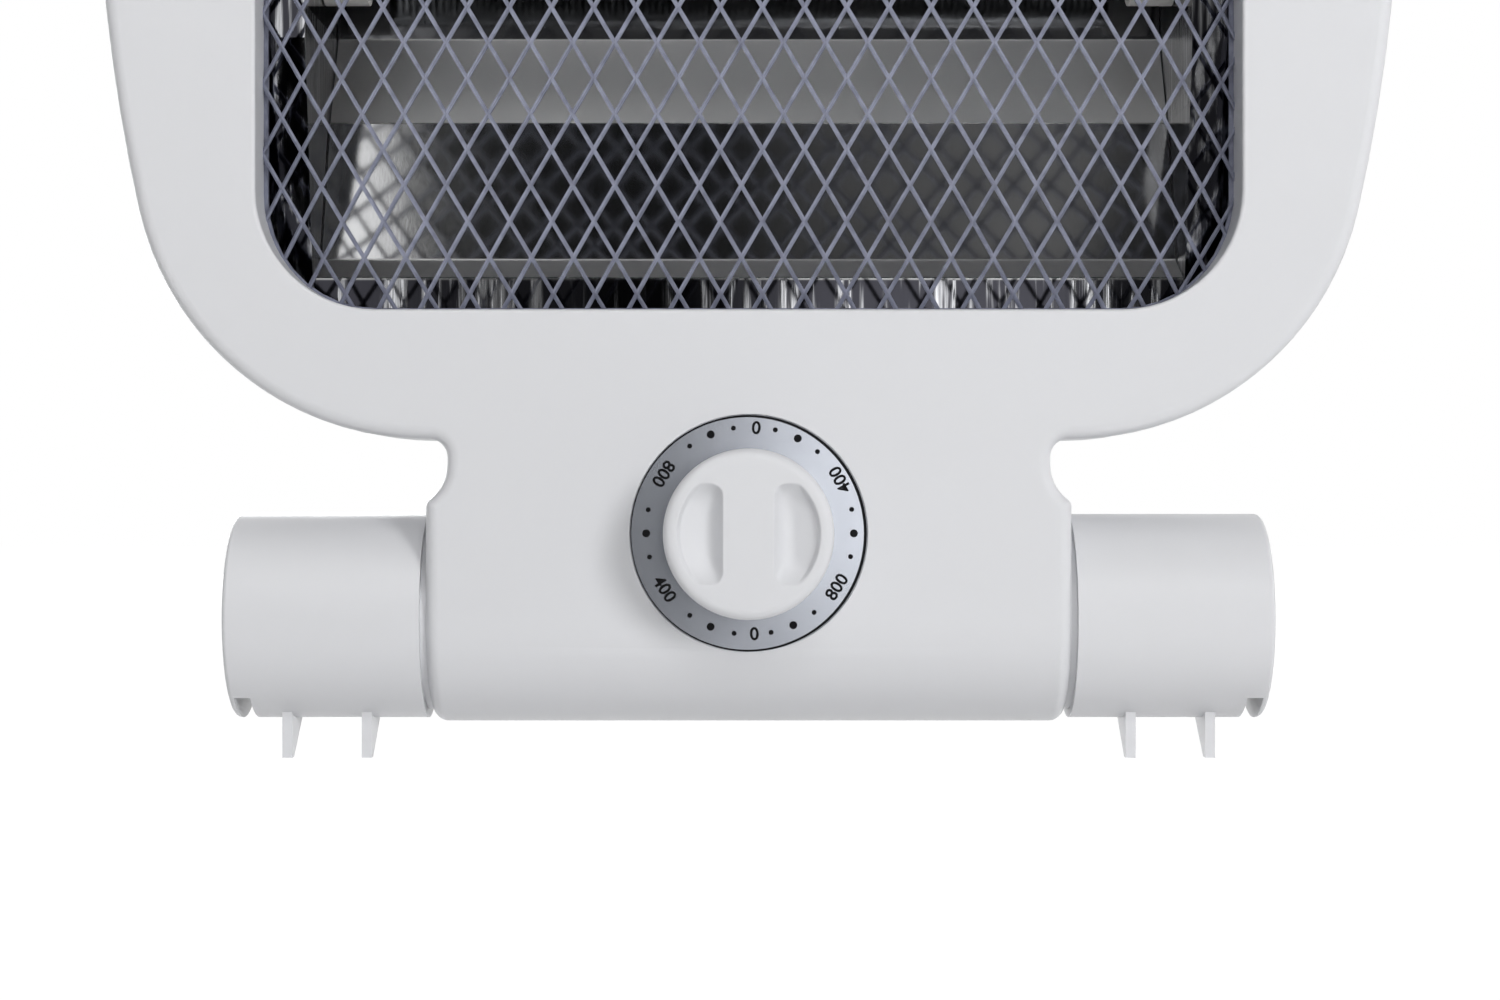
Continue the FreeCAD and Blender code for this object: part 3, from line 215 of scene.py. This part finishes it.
def quartzGlass():
    look = {"tone": (0.90, 0.91, 0.91), "milk": (0.80, 0.81, 0.82), "rough": 0.02, "frosted": 0.05,
            "bend": 1.46, "frost": (900, 4, (0.2, 1, 1)), "frostSpan": (0.35, 0.7),
            "relief": (0.06, 0.02 * mm)}
    material, place = newFinish("QuartzGlass")
    frost = spread(noise(place, *look["frost"]), *look["frostSpan"])
    setShader(material, Base_Color=between(frost, look["tone"], look["milk"]),
              Roughness=look["rough"] + look["frosted"] * frost, Normal=bump(frost, *look["relief"]),
              Transmission_Weight=1.0, IOR=look["bend"])
    return material


plain = {"cloudScale": 1 / 8, "cloudDetail": 4, "cloudSpan": (0.35, 0.7), "grainDetail": 4, "grit": 0.14,
         "relief": 0.18}


def plainFinish(name, tone, shade, rough, scale, depth, metal=0.0, stretch=(1, 1, 1)):
    material, place = newFinish(name)
    cloud = spread(noise(place, scale * plain["cloudScale"], plain["cloudDetail"]), *plain["cloudSpan"])
    grain = noise(place, scale, plain["grainDetail"], stretch)
    setShader(material, Base_Color=between(cloud, tone, shade), Metallic=metal,
              Roughness=rough + plain["grit"] * grain, Normal=bump(grain, plain["relief"], depth * mm))
    return material


def dialSilver():
    look = {"tone": (0.66, 0.69, 0.76), "shade": (0.63, 0.66, 0.73), "metal": 0.9, "rough": 0.17,
            "sanded": 0.08, "sand": (2600, 4), "cloud": (120, 3), "cloudSpan": (0.35, 0.65),
            "relief": (0.10, 0.02 * mm)}
    material, place = newFinish("DialSilver")
    sand = noise(place, *look["sand"])
    cloud = spread(noise(place, *look["cloud"]), *look["cloudSpan"])
    setShader(material, Base_Color=between(cloud, look["tone"], look["shade"]), Metallic=look["metal"],
              Roughness=look["rough"] + look["sanded"] * sand, Normal=bump(sand, *look["relief"]))
    return material


def wovenSleeve():
    look = {"tone": (0.80, 0.78, 0.73), "shade": (0.62, 0.60, 0.55), "rough": 0.7, "thread": 0.1,
            "weave": 320.0, "uneven": 1.5, "relief": (0.4, 0.1 * mm)}
    material, place = newFinish("WovenSleeve")
    settings = {"wave_type": "BANDS", "bands_direction": "DIAGONAL"}
    sockets = {"Vector": place, "Scale": look["weave"], "Distortion": look["uneven"]}
    weave = place.node("ShaderNodeTexWave", settings, sockets, 1)
    setShader(material, Base_Color=between(weave, look["shade"], look["tone"]),
              Roughness=look["rough"] + look["thread"] * weave, Normal=bump(weave, *look["relief"]))
    return material


finishes = {
    "white_plastic": whitePlastic(),
    "guard_paint": guardPaint(),
    "bright_sheet": brightSheet(),
    "quartz": quartzGlass(),
    "coil_wire": plainFinish("CoilWire", (0.10, 0.09, 0.085), (0.05, 0.048, 0.047), rough=0.42, metal=0.7,
                             scale=2500, depth=0.01),
    "ceramic": plainFinish("Ceramic", (0.86, 0.85, 0.82), (0.78, 0.76, 0.72), rough=0.55,
                           scale=1400, depth=0.06),
    "dial_silver": dialSilver(),
    "dark_plastic": plainFinish("DarkPlastic", (0.030, 0.030, 0.033), (0.045, 0.045, 0.048), rough=0.40,
                                scale=1800, depth=0.03),
    "steel": plainFinish("ZincSteel", (0.62, 0.62, 0.65), (0.50, 0.50, 0.50), rough=0.22, metal=1.0,
                         scale=900, depth=0.01, stretch=(1, 0.05, 1)),
    "black_rubber": plainFinish("BlackRubber", (0.020, 0.020, 0.021), (0.032, 0.032, 0.032), rough=0.55,
                                scale=1500, depth=0.05),
    "cream_plastic": plainFinish("CreamPlastic", (0.72, 0.69, 0.60), (0.66, 0.62, 0.53), rough=0.38,
                                 scale=1500, depth=0.03),
    "lead_sleeve": wovenSleeve(),
}
# The black below serves both the dial's print and the painted shadow at its border
ink = {"tone": (0.004, 0.004, 0.005), "shade": (0.007, 0.007, 0.008), "rough": 0.55, "scale": 2000,
       "depth": 0.01}
inkGloss = 0.15
blackPrintAndShadow = plainFinish("BlackPrintAndShadow", **ink)
setShader(blackPrintAndShadow, Specular_IOR_Level=inkGloss)
print("finishes made:", len(finishes) + 1)


making = {"sharpFrom": 32, "weld": 0.002 * mm, "cutNear": 0.001 * mm}


def addPiece(name, mesh, node, material=None, replaced=(), smoothAngle=making["sharpFrom"]):
    piece = bpy.data.objects.new(name, mesh)
    scene.collection.objects.link(piece)
    mesh.materials.clear()
    mesh.materials.append(material or finishes[slotOf[node]])
    if smoothAngle:
        mesh.shade_smooth()
        mesh.set_sharp_from_angle(angle=math.radians(smoothAngle))
        evening = piece.modifiers.new("EvenShading", "WEIGHTED_NORMAL")
        evening.keep_sharp = True
    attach(piece, bodyOf[node])
    if replaced:
        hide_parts(*replaced)
    return piece


def meshFrom(bm, name):
    bmesh.ops.recalc_face_normals(bm, faces=bm.faces)
    mesh = bpy.data.meshes.new(name)
    bm.to_mesh(mesh)
    bm.free()
    return mesh


# Curved housings: a merged copy of the solid, so that it shades as one skin
def smoothSkin(node):
    mesh = frame["nodes"][node].data.copy()
    bm = bmesh.new()
    bm.from_mesh(mesh)
    bmesh.ops.remove_doubles(bm, verts=bm.verts, dist=making["weld"])
    bm.to_mesh(mesh)
    bm.free()
    if "custom_normal" in mesh.attributes:
        mesh.attributes.remove(mesh.attributes["custom_normal"])
    return addPiece(f"{node}_skin", mesh, node, replaced=[node])


# The guard: slit sheet pulled into rhombi, domed, with a folded rim behind the window
guard = {"width": 224.0 * mm, "height": 218.4 * mm, "corner": 27.8 * mm, "cells": 40,
         "pitchAcross": 9.54 * mm, "pitchUp": 16.1 * mm, "shiftAcross": -1.65 * mm, "shiftUp": 0.3 * mm,
         "strand": 0.95 * mm, "gauge": 0.75 * mm, "front": 2.7 * mm, "reach": 36 * mm, "sideDrop": 8.6 * mm,
         "endDrop": 8.2 * mm, "mostDrop": 9.4 * mm, "ridge": 0.22 * mm, "arcPlanes": 8, "smallest": 0.10,
         "sharpFrom": 28}


def domeDrop(point):
    across = guard["width"] / 2 - abs(point.x)
    along = guard["height"] / 2 - abs(point.z - headZ)
    drop = 0
    for gap, depth in ((across, guard["sideDrop"]), (along, guard["endDrop"])):
        share = min(max(1 - gap / guard["reach"], 0), 1)
        drop += depth * share * share
    return min(drop, guard["mostDrop"])


def trimToWindow(bm, width, height, corner):
    for sideX in (-1, 1):
        for sideZ in (-1, 1):
            middle = Vector((sideX * (width / 2 - corner), 0, headZ + sideZ * (height / 2 - corner)))
            for k in range(guard["arcPlanes"] + 1):
                angle = k * math.pi / 2 / guard["arcPlanes"]
                normal = Vector((sideX * math.cos(angle), 0, sideZ * math.sin(angle)))
                bmesh.ops.bisect_plane(bm, geom=[*bm.verts, *bm.edges, *bm.faces], dist=making["cutNear"],
                                       plane_co=middle + normal * corner, plane_no=normal, clear_outer=True)


def makeGuard():
    bm = bmesh.new()
    cells = guard["cells"]
    bmesh.ops.create_grid(bm, x_segments=cells, y_segments=cells, size=cells / 2)
    bmesh.ops.rotate(bm, verts=bm.verts, matrix=Matrix.Rotation(math.radians(45), 3, "Z"))
    bmesh.ops.rotate(bm, verts=bm.verts, matrix=Matrix.Rotation(math.radians(90), 3, "X"))
    half = 1 / math.sqrt(2)
    bmesh.ops.scale(bm, verts=bm.verts, vec=(guard["pitchAcross"] * half, 1, guard["pitchUp"] * half))
    bmesh.ops.translate(bm, verts=bm.verts, vec=(guard["shiftAcross"], 0, headZ + guard["shiftUp"]))
    whole = guard["pitchAcross"] * guard["pitchUp"] / 2
    trimToWindow(bm, guard["width"], guard["height"], guard["corner"])
    knots = set(bm.verts)
    gaps = [face for face in bm.faces if face.calc_area() > guard["smallest"] * whole]
    bmesh.ops.inset_individual(bm, faces=gaps, thickness=guard["strand"] / 2, use_even_offset=True)
    bmesh.ops.delete(bm, geom=gaps, context="FACES")
    for vert in bm.verts:
        ridge = guard["ridge"] if vert in knots else 0
        vert.co.y = panelY + guard["front"] + domeDrop(vert.co) - ridge
    shell = bmesh.ops.extrude_face_region(bm, geom=bm.faces[:])
    pushed = [item for item in shell["geom"] if isinstance(item, bmesh.types.BMVert)]
    bmesh.ops.translate(bm, verts=pushed, vec=back * guard["gauge"])
    mesh = meshFrom(bm, "GuardNet")
    return addPiece("guard_net", mesh, "guard_mesh", replaced=["guard_mesh"], smoothAngle=guard["sharpFrom"])


guardHem = {"inner": 0.6 * mm, "outer": 2.4 * mm, "front": 12.4 * mm, "thick": 1.3 * mm, "roundSteps": 9}


def makeGuardHem():
    bm = bmesh.new()
    bmesh.ops.create_grid(bm, x_segments=1, y_segments=1, size=0.5)
    bmesh.ops.rotate(bm, verts=bm.verts, matrix=Matrix.Rotation(math.radians(90), 3, "X"))
    width, height = guard["width"] + guardHem["outer"], guard["height"] + guardHem["outer"]
    bmesh.ops.scale(bm, verts=bm.verts, vec=(width, 1, height))
    bmesh.ops.translate(bm, verts=bm.verts, vec=(0, panelY + guardHem["front"], headZ))
    bmesh.ops.bevel(bm, geom=bm.verts[:], offset=guard["corner"], segments=guardHem["roundSteps"],
                    profile=0.5, affect="VERTICES", material=-1)
    faces = bm.faces[:]
    bmesh.ops.inset_individual(bm, faces=faces, thickness=guardHem["inner"] + guardHem["outer"])
    bmesh.ops.delete(bm, geom=faces, context="FACES")
    band = bmesh.ops.extrude_face_region(bm, geom=bm.faces[:])
    pushed = [item for item in band["geom"] if isinstance(item, bmesh.types.BMVert)]
    bmesh.ops.translate(bm, verts=pushed, vec=back * guardHem["thick"])
    return addPiece("guard_hem", meshFrom(bm, "GuardHem"), "guard_mesh")


makeGuard()
makeGuardHem()
print("guard made")


# Heating coils: wire wound on the solid's own axis, with a straight pin through each end cap
coil = {"wire": 0.34 * mm, "sides": 6, "pitch": 1.7 * mm, "stepsPerTurn": 16, "pin": 0.6 * mm, "pinSides": 12,
        "legSides": 8, "margin": 8 * mm}


def makeCoil(node):
    low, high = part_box(node)
    middle, radius = (low + high) / 2, (high.z - low.z) / 2 - coil["wire"]
    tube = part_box(node.replace("heating_coil", "quartz_tube"))
    start, stop = tube[0].x + coil["margin"], tube[1].x - coil["margin"]
    turns = (stop - start) / coil["pitch"]
    steps = int(turns * coil["stepsPerTurn"])
    bm = bmesh.new()
    ring = bmesh.ops.create_circle(bm, segments=coil["sides"], radius=coil["wire"])["verts"]
    bmesh.ops.rotate(bm, verts=ring, matrix=Matrix.Rotation(math.radians(90), 3, "Y"))
    bmesh.ops.rotate(bm, verts=ring, matrix=Matrix.Rotation(math.radians(90), 3, "Z"))
    bmesh.ops.translate(bm, verts=ring, vec=(start, middle.y, middle.z + radius))
    bmesh.ops.spin(bm, geom=bm.verts[:] + bm.edges[:], cent=middle, axis=(1, 0, 0), angle=turns * 2 * math.pi,
                   steps=steps, dvec=((stop - start) / steps, 0, 0))
    bmesh.ops.holes_fill(bm, edges=[edge for edge in bm.edges if edge.is_boundary], sides=coil["sides"])
    for outer, inner in ((low.x, start), (high.x, stop)):
        pin = Matrix.Translation(((outer + inner) / 2, middle.y, middle.z))
        pin = pin @ Matrix.Rotation(math.pi / 2, 4, "Y")
        bmesh.ops.create_cone(bm, cap_ends=True, segments=coil["pinSides"], radius1=coil["pin"],
                              radius2=coil["pin"], depth=abs(outer - inner), matrix=pin)
        leg = Matrix.Translation((inner, middle.y, middle.z + radius / 2))
        bmesh.ops.create_cone(bm, cap_ends=True, segments=coil["legSides"], radius1=coil["wire"],
                              radius2=coil["wire"], depth=radius, matrix=leg)
    return addPiece(f"{node}_wire", meshFrom(bm, "CoilWire"), node, replaced=[node])


for node in ("heating_coil_lower", "heating_coil_upper"):
    makeCoil(node)
print("coils wound")


# Knob: a flat face with two finger scoops, its rim rounded over and its side slightly tapered
knob = {"flat": 16.6 * mm, "rimRound": 2.2 * mm, "roundSteps": 6, "base": 19.0 * mm, "baseChamfer": 0.4 * mm,
        "grid": 150, "gridSpare": 1.01, "planes": 96, "bar": 5.6 * mm, "scoopRim": 15.9 * mm,
        "scoopHalf": 11.2 * mm, "cornerSoft": 3.4 * mm, "deep": 6.4 * mm, "wallRun": 5.0 * mm,
        "brimShare": 0.2, "brimRun": 0.9 * mm, "sharpFrom": 75}


def easeIn(share):
    share = min(max(share, 0), 1)
    return share * share * (3 - 2 * share)


def roundOff(share):  # steepest at the edge, level at the floor
    share = min(max(share, 0), 1)
    return share * (2 - share)


def softLeast(first, second, soft):  # the lesser of two gaps, rounded where they cross
    blend = max(soft - abs(first - second), 0) / soft
    return min(first, second) - blend * blend * soft / 4


def scoopDepth(x, z):
    fromBar = abs(x) - knob["bar"]
    rimGap = knob["scoopRim"] - math.hypot(x, z)
    inward = softLeast(fromBar, knob["scoopHalf"] - abs(z), knob["cornerSoft"])
    if inward <= 0 or rimGap <= 0:
        return 0
    ramp = 1 - (1 - knob["brimShare"]) * fromBar / (fromBar + rimGap)
    return knob["deep"] * roundOff(inward / knob["wallRun"]) * ramp * easeIn(rimGap / knob["brimRun"])


def makeKnob():
    low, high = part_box("knob")
    length = high.y - low.y
    bm = bmesh.new()
    bmesh.ops.create_grid(bm, x_segments=knob["grid"], y_segments=knob["grid"],
                          size=knob["flat"] * knob["gridSpare"])
    bmesh.ops.rotate(bm, verts=bm.verts, matrix=Matrix.Rotation(math.radians(90), 3, "X"))
    for k in range(knob["planes"]):
        angle = 2 * math.pi * k / knob["planes"]
        normal = Vector((math.cos(angle), 0, math.sin(angle)))
        bmesh.ops.bisect_plane(bm, geom=[*bm.verts, *bm.edges, *bm.faces], dist=making["cutNear"],
                               plane_co=normal * knob["flat"], plane_no=normal, clear_outer=True)
    for vert in bm.verts:
        vert.co.y = scoopDepth(vert.co.x, vert.co.z)
    rim = [edge for edge in bm.edges if edge.is_boundary]
    rings = []
    for k in range(1, knob["roundSteps"] + 1):
        angle = k * math.pi / 2 / knob["roundSteps"]
        rings.append((knob["flat"] + knob["rimRound"] * math.sin(angle),
                      knob["rimRound"] * (1 - math.cos(angle))))
    rings += [(knob["base"], length - knob["baseChamfer"]), (knob["base"] - knob["baseChamfer"], length)]
    radius = knob["flat"]
    for wider, depth in rings:
        grown = bmesh.ops.extrude_edge_only(bm, edges=rim)["geom"]
        ring = [item for item in grown if isinstance(item, bmesh.types.BMVert)]
        rim = [item for item in grown if isinstance(item, bmesh.types.BMEdge)]
        bmesh.ops.scale(bm, verts=ring, vec=(wider / radius, 1, wider / radius))
        for vert in ring:
            vert.co.y = depth
        radius = wider
    bmesh.ops.holes_fill(bm, edges=rim)
    bmesh.ops.translate(bm, verts=bm.verts, vec=(0, low.y, dialZ))
    mesh = meshFrom(bm, "KnobCap")
    return addPiece("knob_cap", mesh, "knob", replaced=["knob"], smoothAngle=knob["sharpFrom"])


makeKnob()
print("knob made")


# Dial: the print on the silver disc, and a painted shadow along its edge, as thin raised ink; angles run
# clockwise from the top
dial = {"printRadius": 23.4 * mm, "printShift": (0.3 * mm, 0.6 * mm), "ink": 0.05 * mm, "weld": 0.0005 * mm,
        "letter": 4.0 * mm, "squeeze": 1.03, "bold": 0.022, "bigDot": 0.9 * mm, "smallDot": 0.56 * mm,
        "dotSides": 24, "border": (26.65 * mm, 26.2 * mm), "shadowShift": (-0.25 * mm, -0.04 * mm),
        "borderSides": 120,
        "numbers": ((3.5, "0"), (60.5, "400"), (123.0, "800"), (177.6, "0"), (235.6, "400"), (303.3, "800")),
        "bigDots": (27.4, 91.5, 155.4, 202.3, 268.5, 337.8),
        "smallDots": (14.1, 40.5, 78.2, 104.5, 141.9, 168.3, 188.8, 215.4, 255.3, 281.6, 324.5, 350.8)}


def dialPlace(angle, radius, lift):
    turn = math.radians(angle)
    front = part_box("dial_plate")[0].y
    shiftX, shiftZ = dial["printShift"]
    return Vector((shiftX + radius * math.sin(turn), front - lift, dialZ + shiftZ + radius * math.cos(turn)))


# A thin dark border, partly print and partly painted shadow: it is widened on the right, as a painted shadow
# of the dial's recess
def addDialBorderAndShadow(bm):
    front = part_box("dial_plate")[0].y
    rings = []
    for radius, shift in zip(dial["border"], ((0, 0), dial["shadowShift"])):
        turned = Matrix.Translation((shift[0], front - dial["ink"], dialZ + shift[1]))
        turned = turned @ Matrix.Rotation(math.pi / 2, 4, "X")
        ring = bmesh.ops.create_circle(bm, segments=dial["borderSides"], radius=radius, matrix=turned)
        rings += {edge for vert in ring["verts"] for edge in vert.link_edges}
    bmesh.ops.bridge_loops(bm, edges=rings)


def makeDialInkAndShadow():
    bm = bmesh.new()
    for radius, angles in ((dial["bigDot"], dial["bigDots"]), (dial["smallDot"], dial["smallDots"])):
        for angle in angles:
            spot = Matrix.Translation(dialPlace(angle, dial["printRadius"], dial["ink"] / 2))
            spot = spot @ Matrix.Rotation(math.pi / 2, 4, "X")
            bmesh.ops.create_cone(bm, cap_ends=True, segments=dial["dotSides"], radius1=radius,
                                  radius2=radius, depth=dial["ink"], matrix=spot)
    for angle, words in dial["numbers"]:
        curve = bpy.data.curves.new("DialNumber", "FONT")
        curve.body, curve.align_x, curve.align_y = words, "CENTER", "CENTER"
        curve.extrude, curve.offset = dial["ink"] / 2 / dial["letter"], dial["bold"]
        text = bpy.data.objects.new("DialNumber", curve)
        scene.collection.objects.link(text)
        bpy.context.view_layer.update()
        flat = bpy.data.meshes.new_from_object(text.evaluated_get(bpy.context.evaluated_depsgraph_get()))
        bpy.data.objects.remove(text)
        bpy.data.curves.remove(curve)
        stand = Matrix.Rotation(math.radians(90), 4, "X")
        stand = stand @ Matrix.Diagonal((dial["squeeze"], 1, 1, 1 / dial["letter"]))
        stand *= dial["letter"]
        spun = Matrix.Rotation(math.radians(angle + 180), 4, "Y")  # tops face the knob
        spot = Matrix.Translation(dialPlace(angle, dial["printRadius"], dial["ink"] / 2))
        flat.transform(spot @ spun @ stand)
        bm.from_mesh(flat)
        bpy.data.meshes.remove(flat)
    bmesh.ops.remove_doubles(bm, verts=bm.verts, dist=dial["weld"])
    addDialBorderAndShadow(bm)
    return addPiece("dial_ink_and_shadow", meshFrom(bm, "DialInkAndShadow"), "dial_plate", material=blackPrintAndShadow, smoothAngle=0)


makeDialInkAndShadow()
print("dial printed")


# The rest keep their solids: curved ones as merged skins, flat ones as they are
curvedSolids = ("front_bezel", "rear_cover", "left_foot_hub", "right_foot_hub", "pivot_spigot_left",
                "pivot_spigot_right", "ceramic_end_caps", "quartz_tube_lower", "quartz_tube_upper",
                "dial_plate", "cord_bush", "switch_nut", "switch_shaft", "rotary_switch",
                "housing_screws", "reflector_screws", "hub_screws", "hub_washers", "thermal_cutout")
flatSolids = ("reflector", "reflector_end_left", "reflector_end_right", "tilt_switch", "terminal_block",
              "heater_leads")
for node in curvedSolids:
    smoothSkin(node)
for node in flatSolids:
    mesh = frame["nodes"][node].data
    mesh.materials.clear()
    mesh.materials.append(finishes[slotOf[node]])
print("solids dressed")


# Studio: white floor and surround, a key from the right of the camera, and cards that only gloss sees:
# three keep the reflector's mirror folds dark, a small one shades the dial. Tones run from left to right
studio = {"floorSize": 6.0, "floorTone": (0.9, 0.9, 0.9, 1), "floorRough": 0.9, "floorGlow": 1.12,
          "shadowShare": 0.15, "fill": 0.31, "aim": (0, 0, 0.13),
          "key": {"place": (1.0, -1.4, 0.42), "size": 0.5, "power": 13.2},
          "top": {"place": (0.10, -1.15, 0.85), "size": 0.6, "power": 4.4},
          "back": {"place": (-0.6, 1.5, 0.35), "size": 0.9, "power": 9.0},
          "cards": {"DarkWall": ((0, -1.7, 0.9), 90, 2.6, "wallTones"),
                    "DialCard": ((0.035, -0.5, 0.06), 90, 0.2, "dialTones"),
                    "DarkCeiling": ((0, -0.9, 1.5), 0, 2.8, "cardTones"),
                    "DarkFloor": ((0, -1.45, 0.004), 0, 2.5, "cardTones")},
          "cardReach": 0.5, "dialTones": ((0.482, 0.004), (0.525, 1.3), (0.57, 1.6)),
          "wallTones": ((0.19, 0.95), (0.25, 0.13), (0.82, 0.13)),
          "cardTones": ((0.19, 1.6), (0.205, 0.006), (0.48, 0.006), (0.58, 0.10), (0.77, 0.2), (0.82, 0.02))}


def seenWhite(tree):
    path = tree.nodes.new("ShaderNodeLightPath")
    seen = Signal(tree, path.outputs["Is Camera Ray"])
    return seen.maths("MAXIMUM", seen.maths("MAXIMUM", seen, Signal(tree, path.outputs["Is Glossy Ray"])),
                      Signal(tree, path.outputs["Is Transmission Ray"]))


def addArea(name, place, size, power):
    data = bpy.data.lights.new(name, "AREA")
    data.shape, data.size, data.energy = "DISK", size, power
    lamp = bpy.data.objects.new(name, data)
    scene.collection.objects.link(lamp)
    lamp.location = place
    aim = Vector(studio["aim"]) - lamp.location
    lamp.rotation_euler = aim.to_track_quat("-Z", "Y").to_euler()
    return lamp


def addStageSheet(name, size, matrix):
    bm = bmesh.new()
    bmesh.ops.create_grid(bm, x_segments=1, y_segments=1, size=size / 2, matrix=matrix)
    mesh = bpy.data.meshes.new(name)
    bm.to_mesh(mesh)
    bm.free()
    sheet = bpy.data.objects.new(name, mesh)
    scene.collection.objects.link(sheet)
    material, place = newFinish(name)
    mesh.materials.append(material)
    return sheet, material, place


def addFloor():
    material = addStageSheet("StudioFloor", studio["floorSize"], Matrix.Identity(4))[1]
    setShader(material, Base_Color=studio["floorTone"], Roughness=studio["floorRough"])
    tree = material.node_tree
    seen = seenWhite(tree)
    glow = seen.node("ShaderNodeEmission", None, {"Strength": studio["floorGlow"]})
    mixed = seen.node("ShaderNodeMixShader", None, {0: seen * (1 - studio["shadowShare"]), 2: glow})
    tree.links.new(tree.nodes["Principled BSDF"].outputs[0], mixed.socket.node.inputs[1])
    tree.links.new(mixed.socket, tree.nodes["Material Output"].inputs["Surface"])


def addCard(name, place, tilt, size, tones):
    stand = Matrix.Translation(place) @ Matrix.Rotation(math.radians(tilt), 4, "X")
    sheet, material, spot = addStageSheet(name, size, stand)
    across = spot.node("ShaderNodeSeparateXYZ", None, {0: spot})
    reach = {"Value": across, "From Min": -studio["cardReach"], "From Max": studio["cardReach"]}
    across = across.node("ShaderNodeMapRange", None, reach)
    stops = [(position, (tone, tone, tone, 1)) for position, tone in studio[tones]]
    shade = across.node("ShaderNodeValToRGB", {"stops": stops}, {"Fac": across})
    setShader(material, Base_Color=(0, 0, 0, 1), Specular_IOR_Level=0.0, Emission_Color=shade,
              Emission_Strength=1.0)
    sheet.visible_camera = sheet.visible_diffuse = sheet.visible_shadow = False


def makeStudio():
    addFloor()
    for name, card in studio["cards"].items():
        addCard(name, *card)
    world = bpy.data.worlds.new("StudioWhite")
    scene.world = world
    world.use_nodes = True
    seen = seenWhite(world.node_tree)
    strength = seen * (1 - studio["fill"]) + studio["fill"]
    surround = world.node_tree.nodes["Background"]
    surround.inputs["Color"].default_value = (1, 1, 1, 1)
    join(world.node_tree, strength, surround.inputs["Strength"])
    for name in ("key", "top", "back"):
        lamp = studio[name]
        shone = addArea(name.capitalize() + "Light", lamp["place"], lamp["size"], lamp["power"])
        shone.visible_glossy = name == "back"  # the front lamps leave no glare on the panel


makeStudio()
print("studio lit")
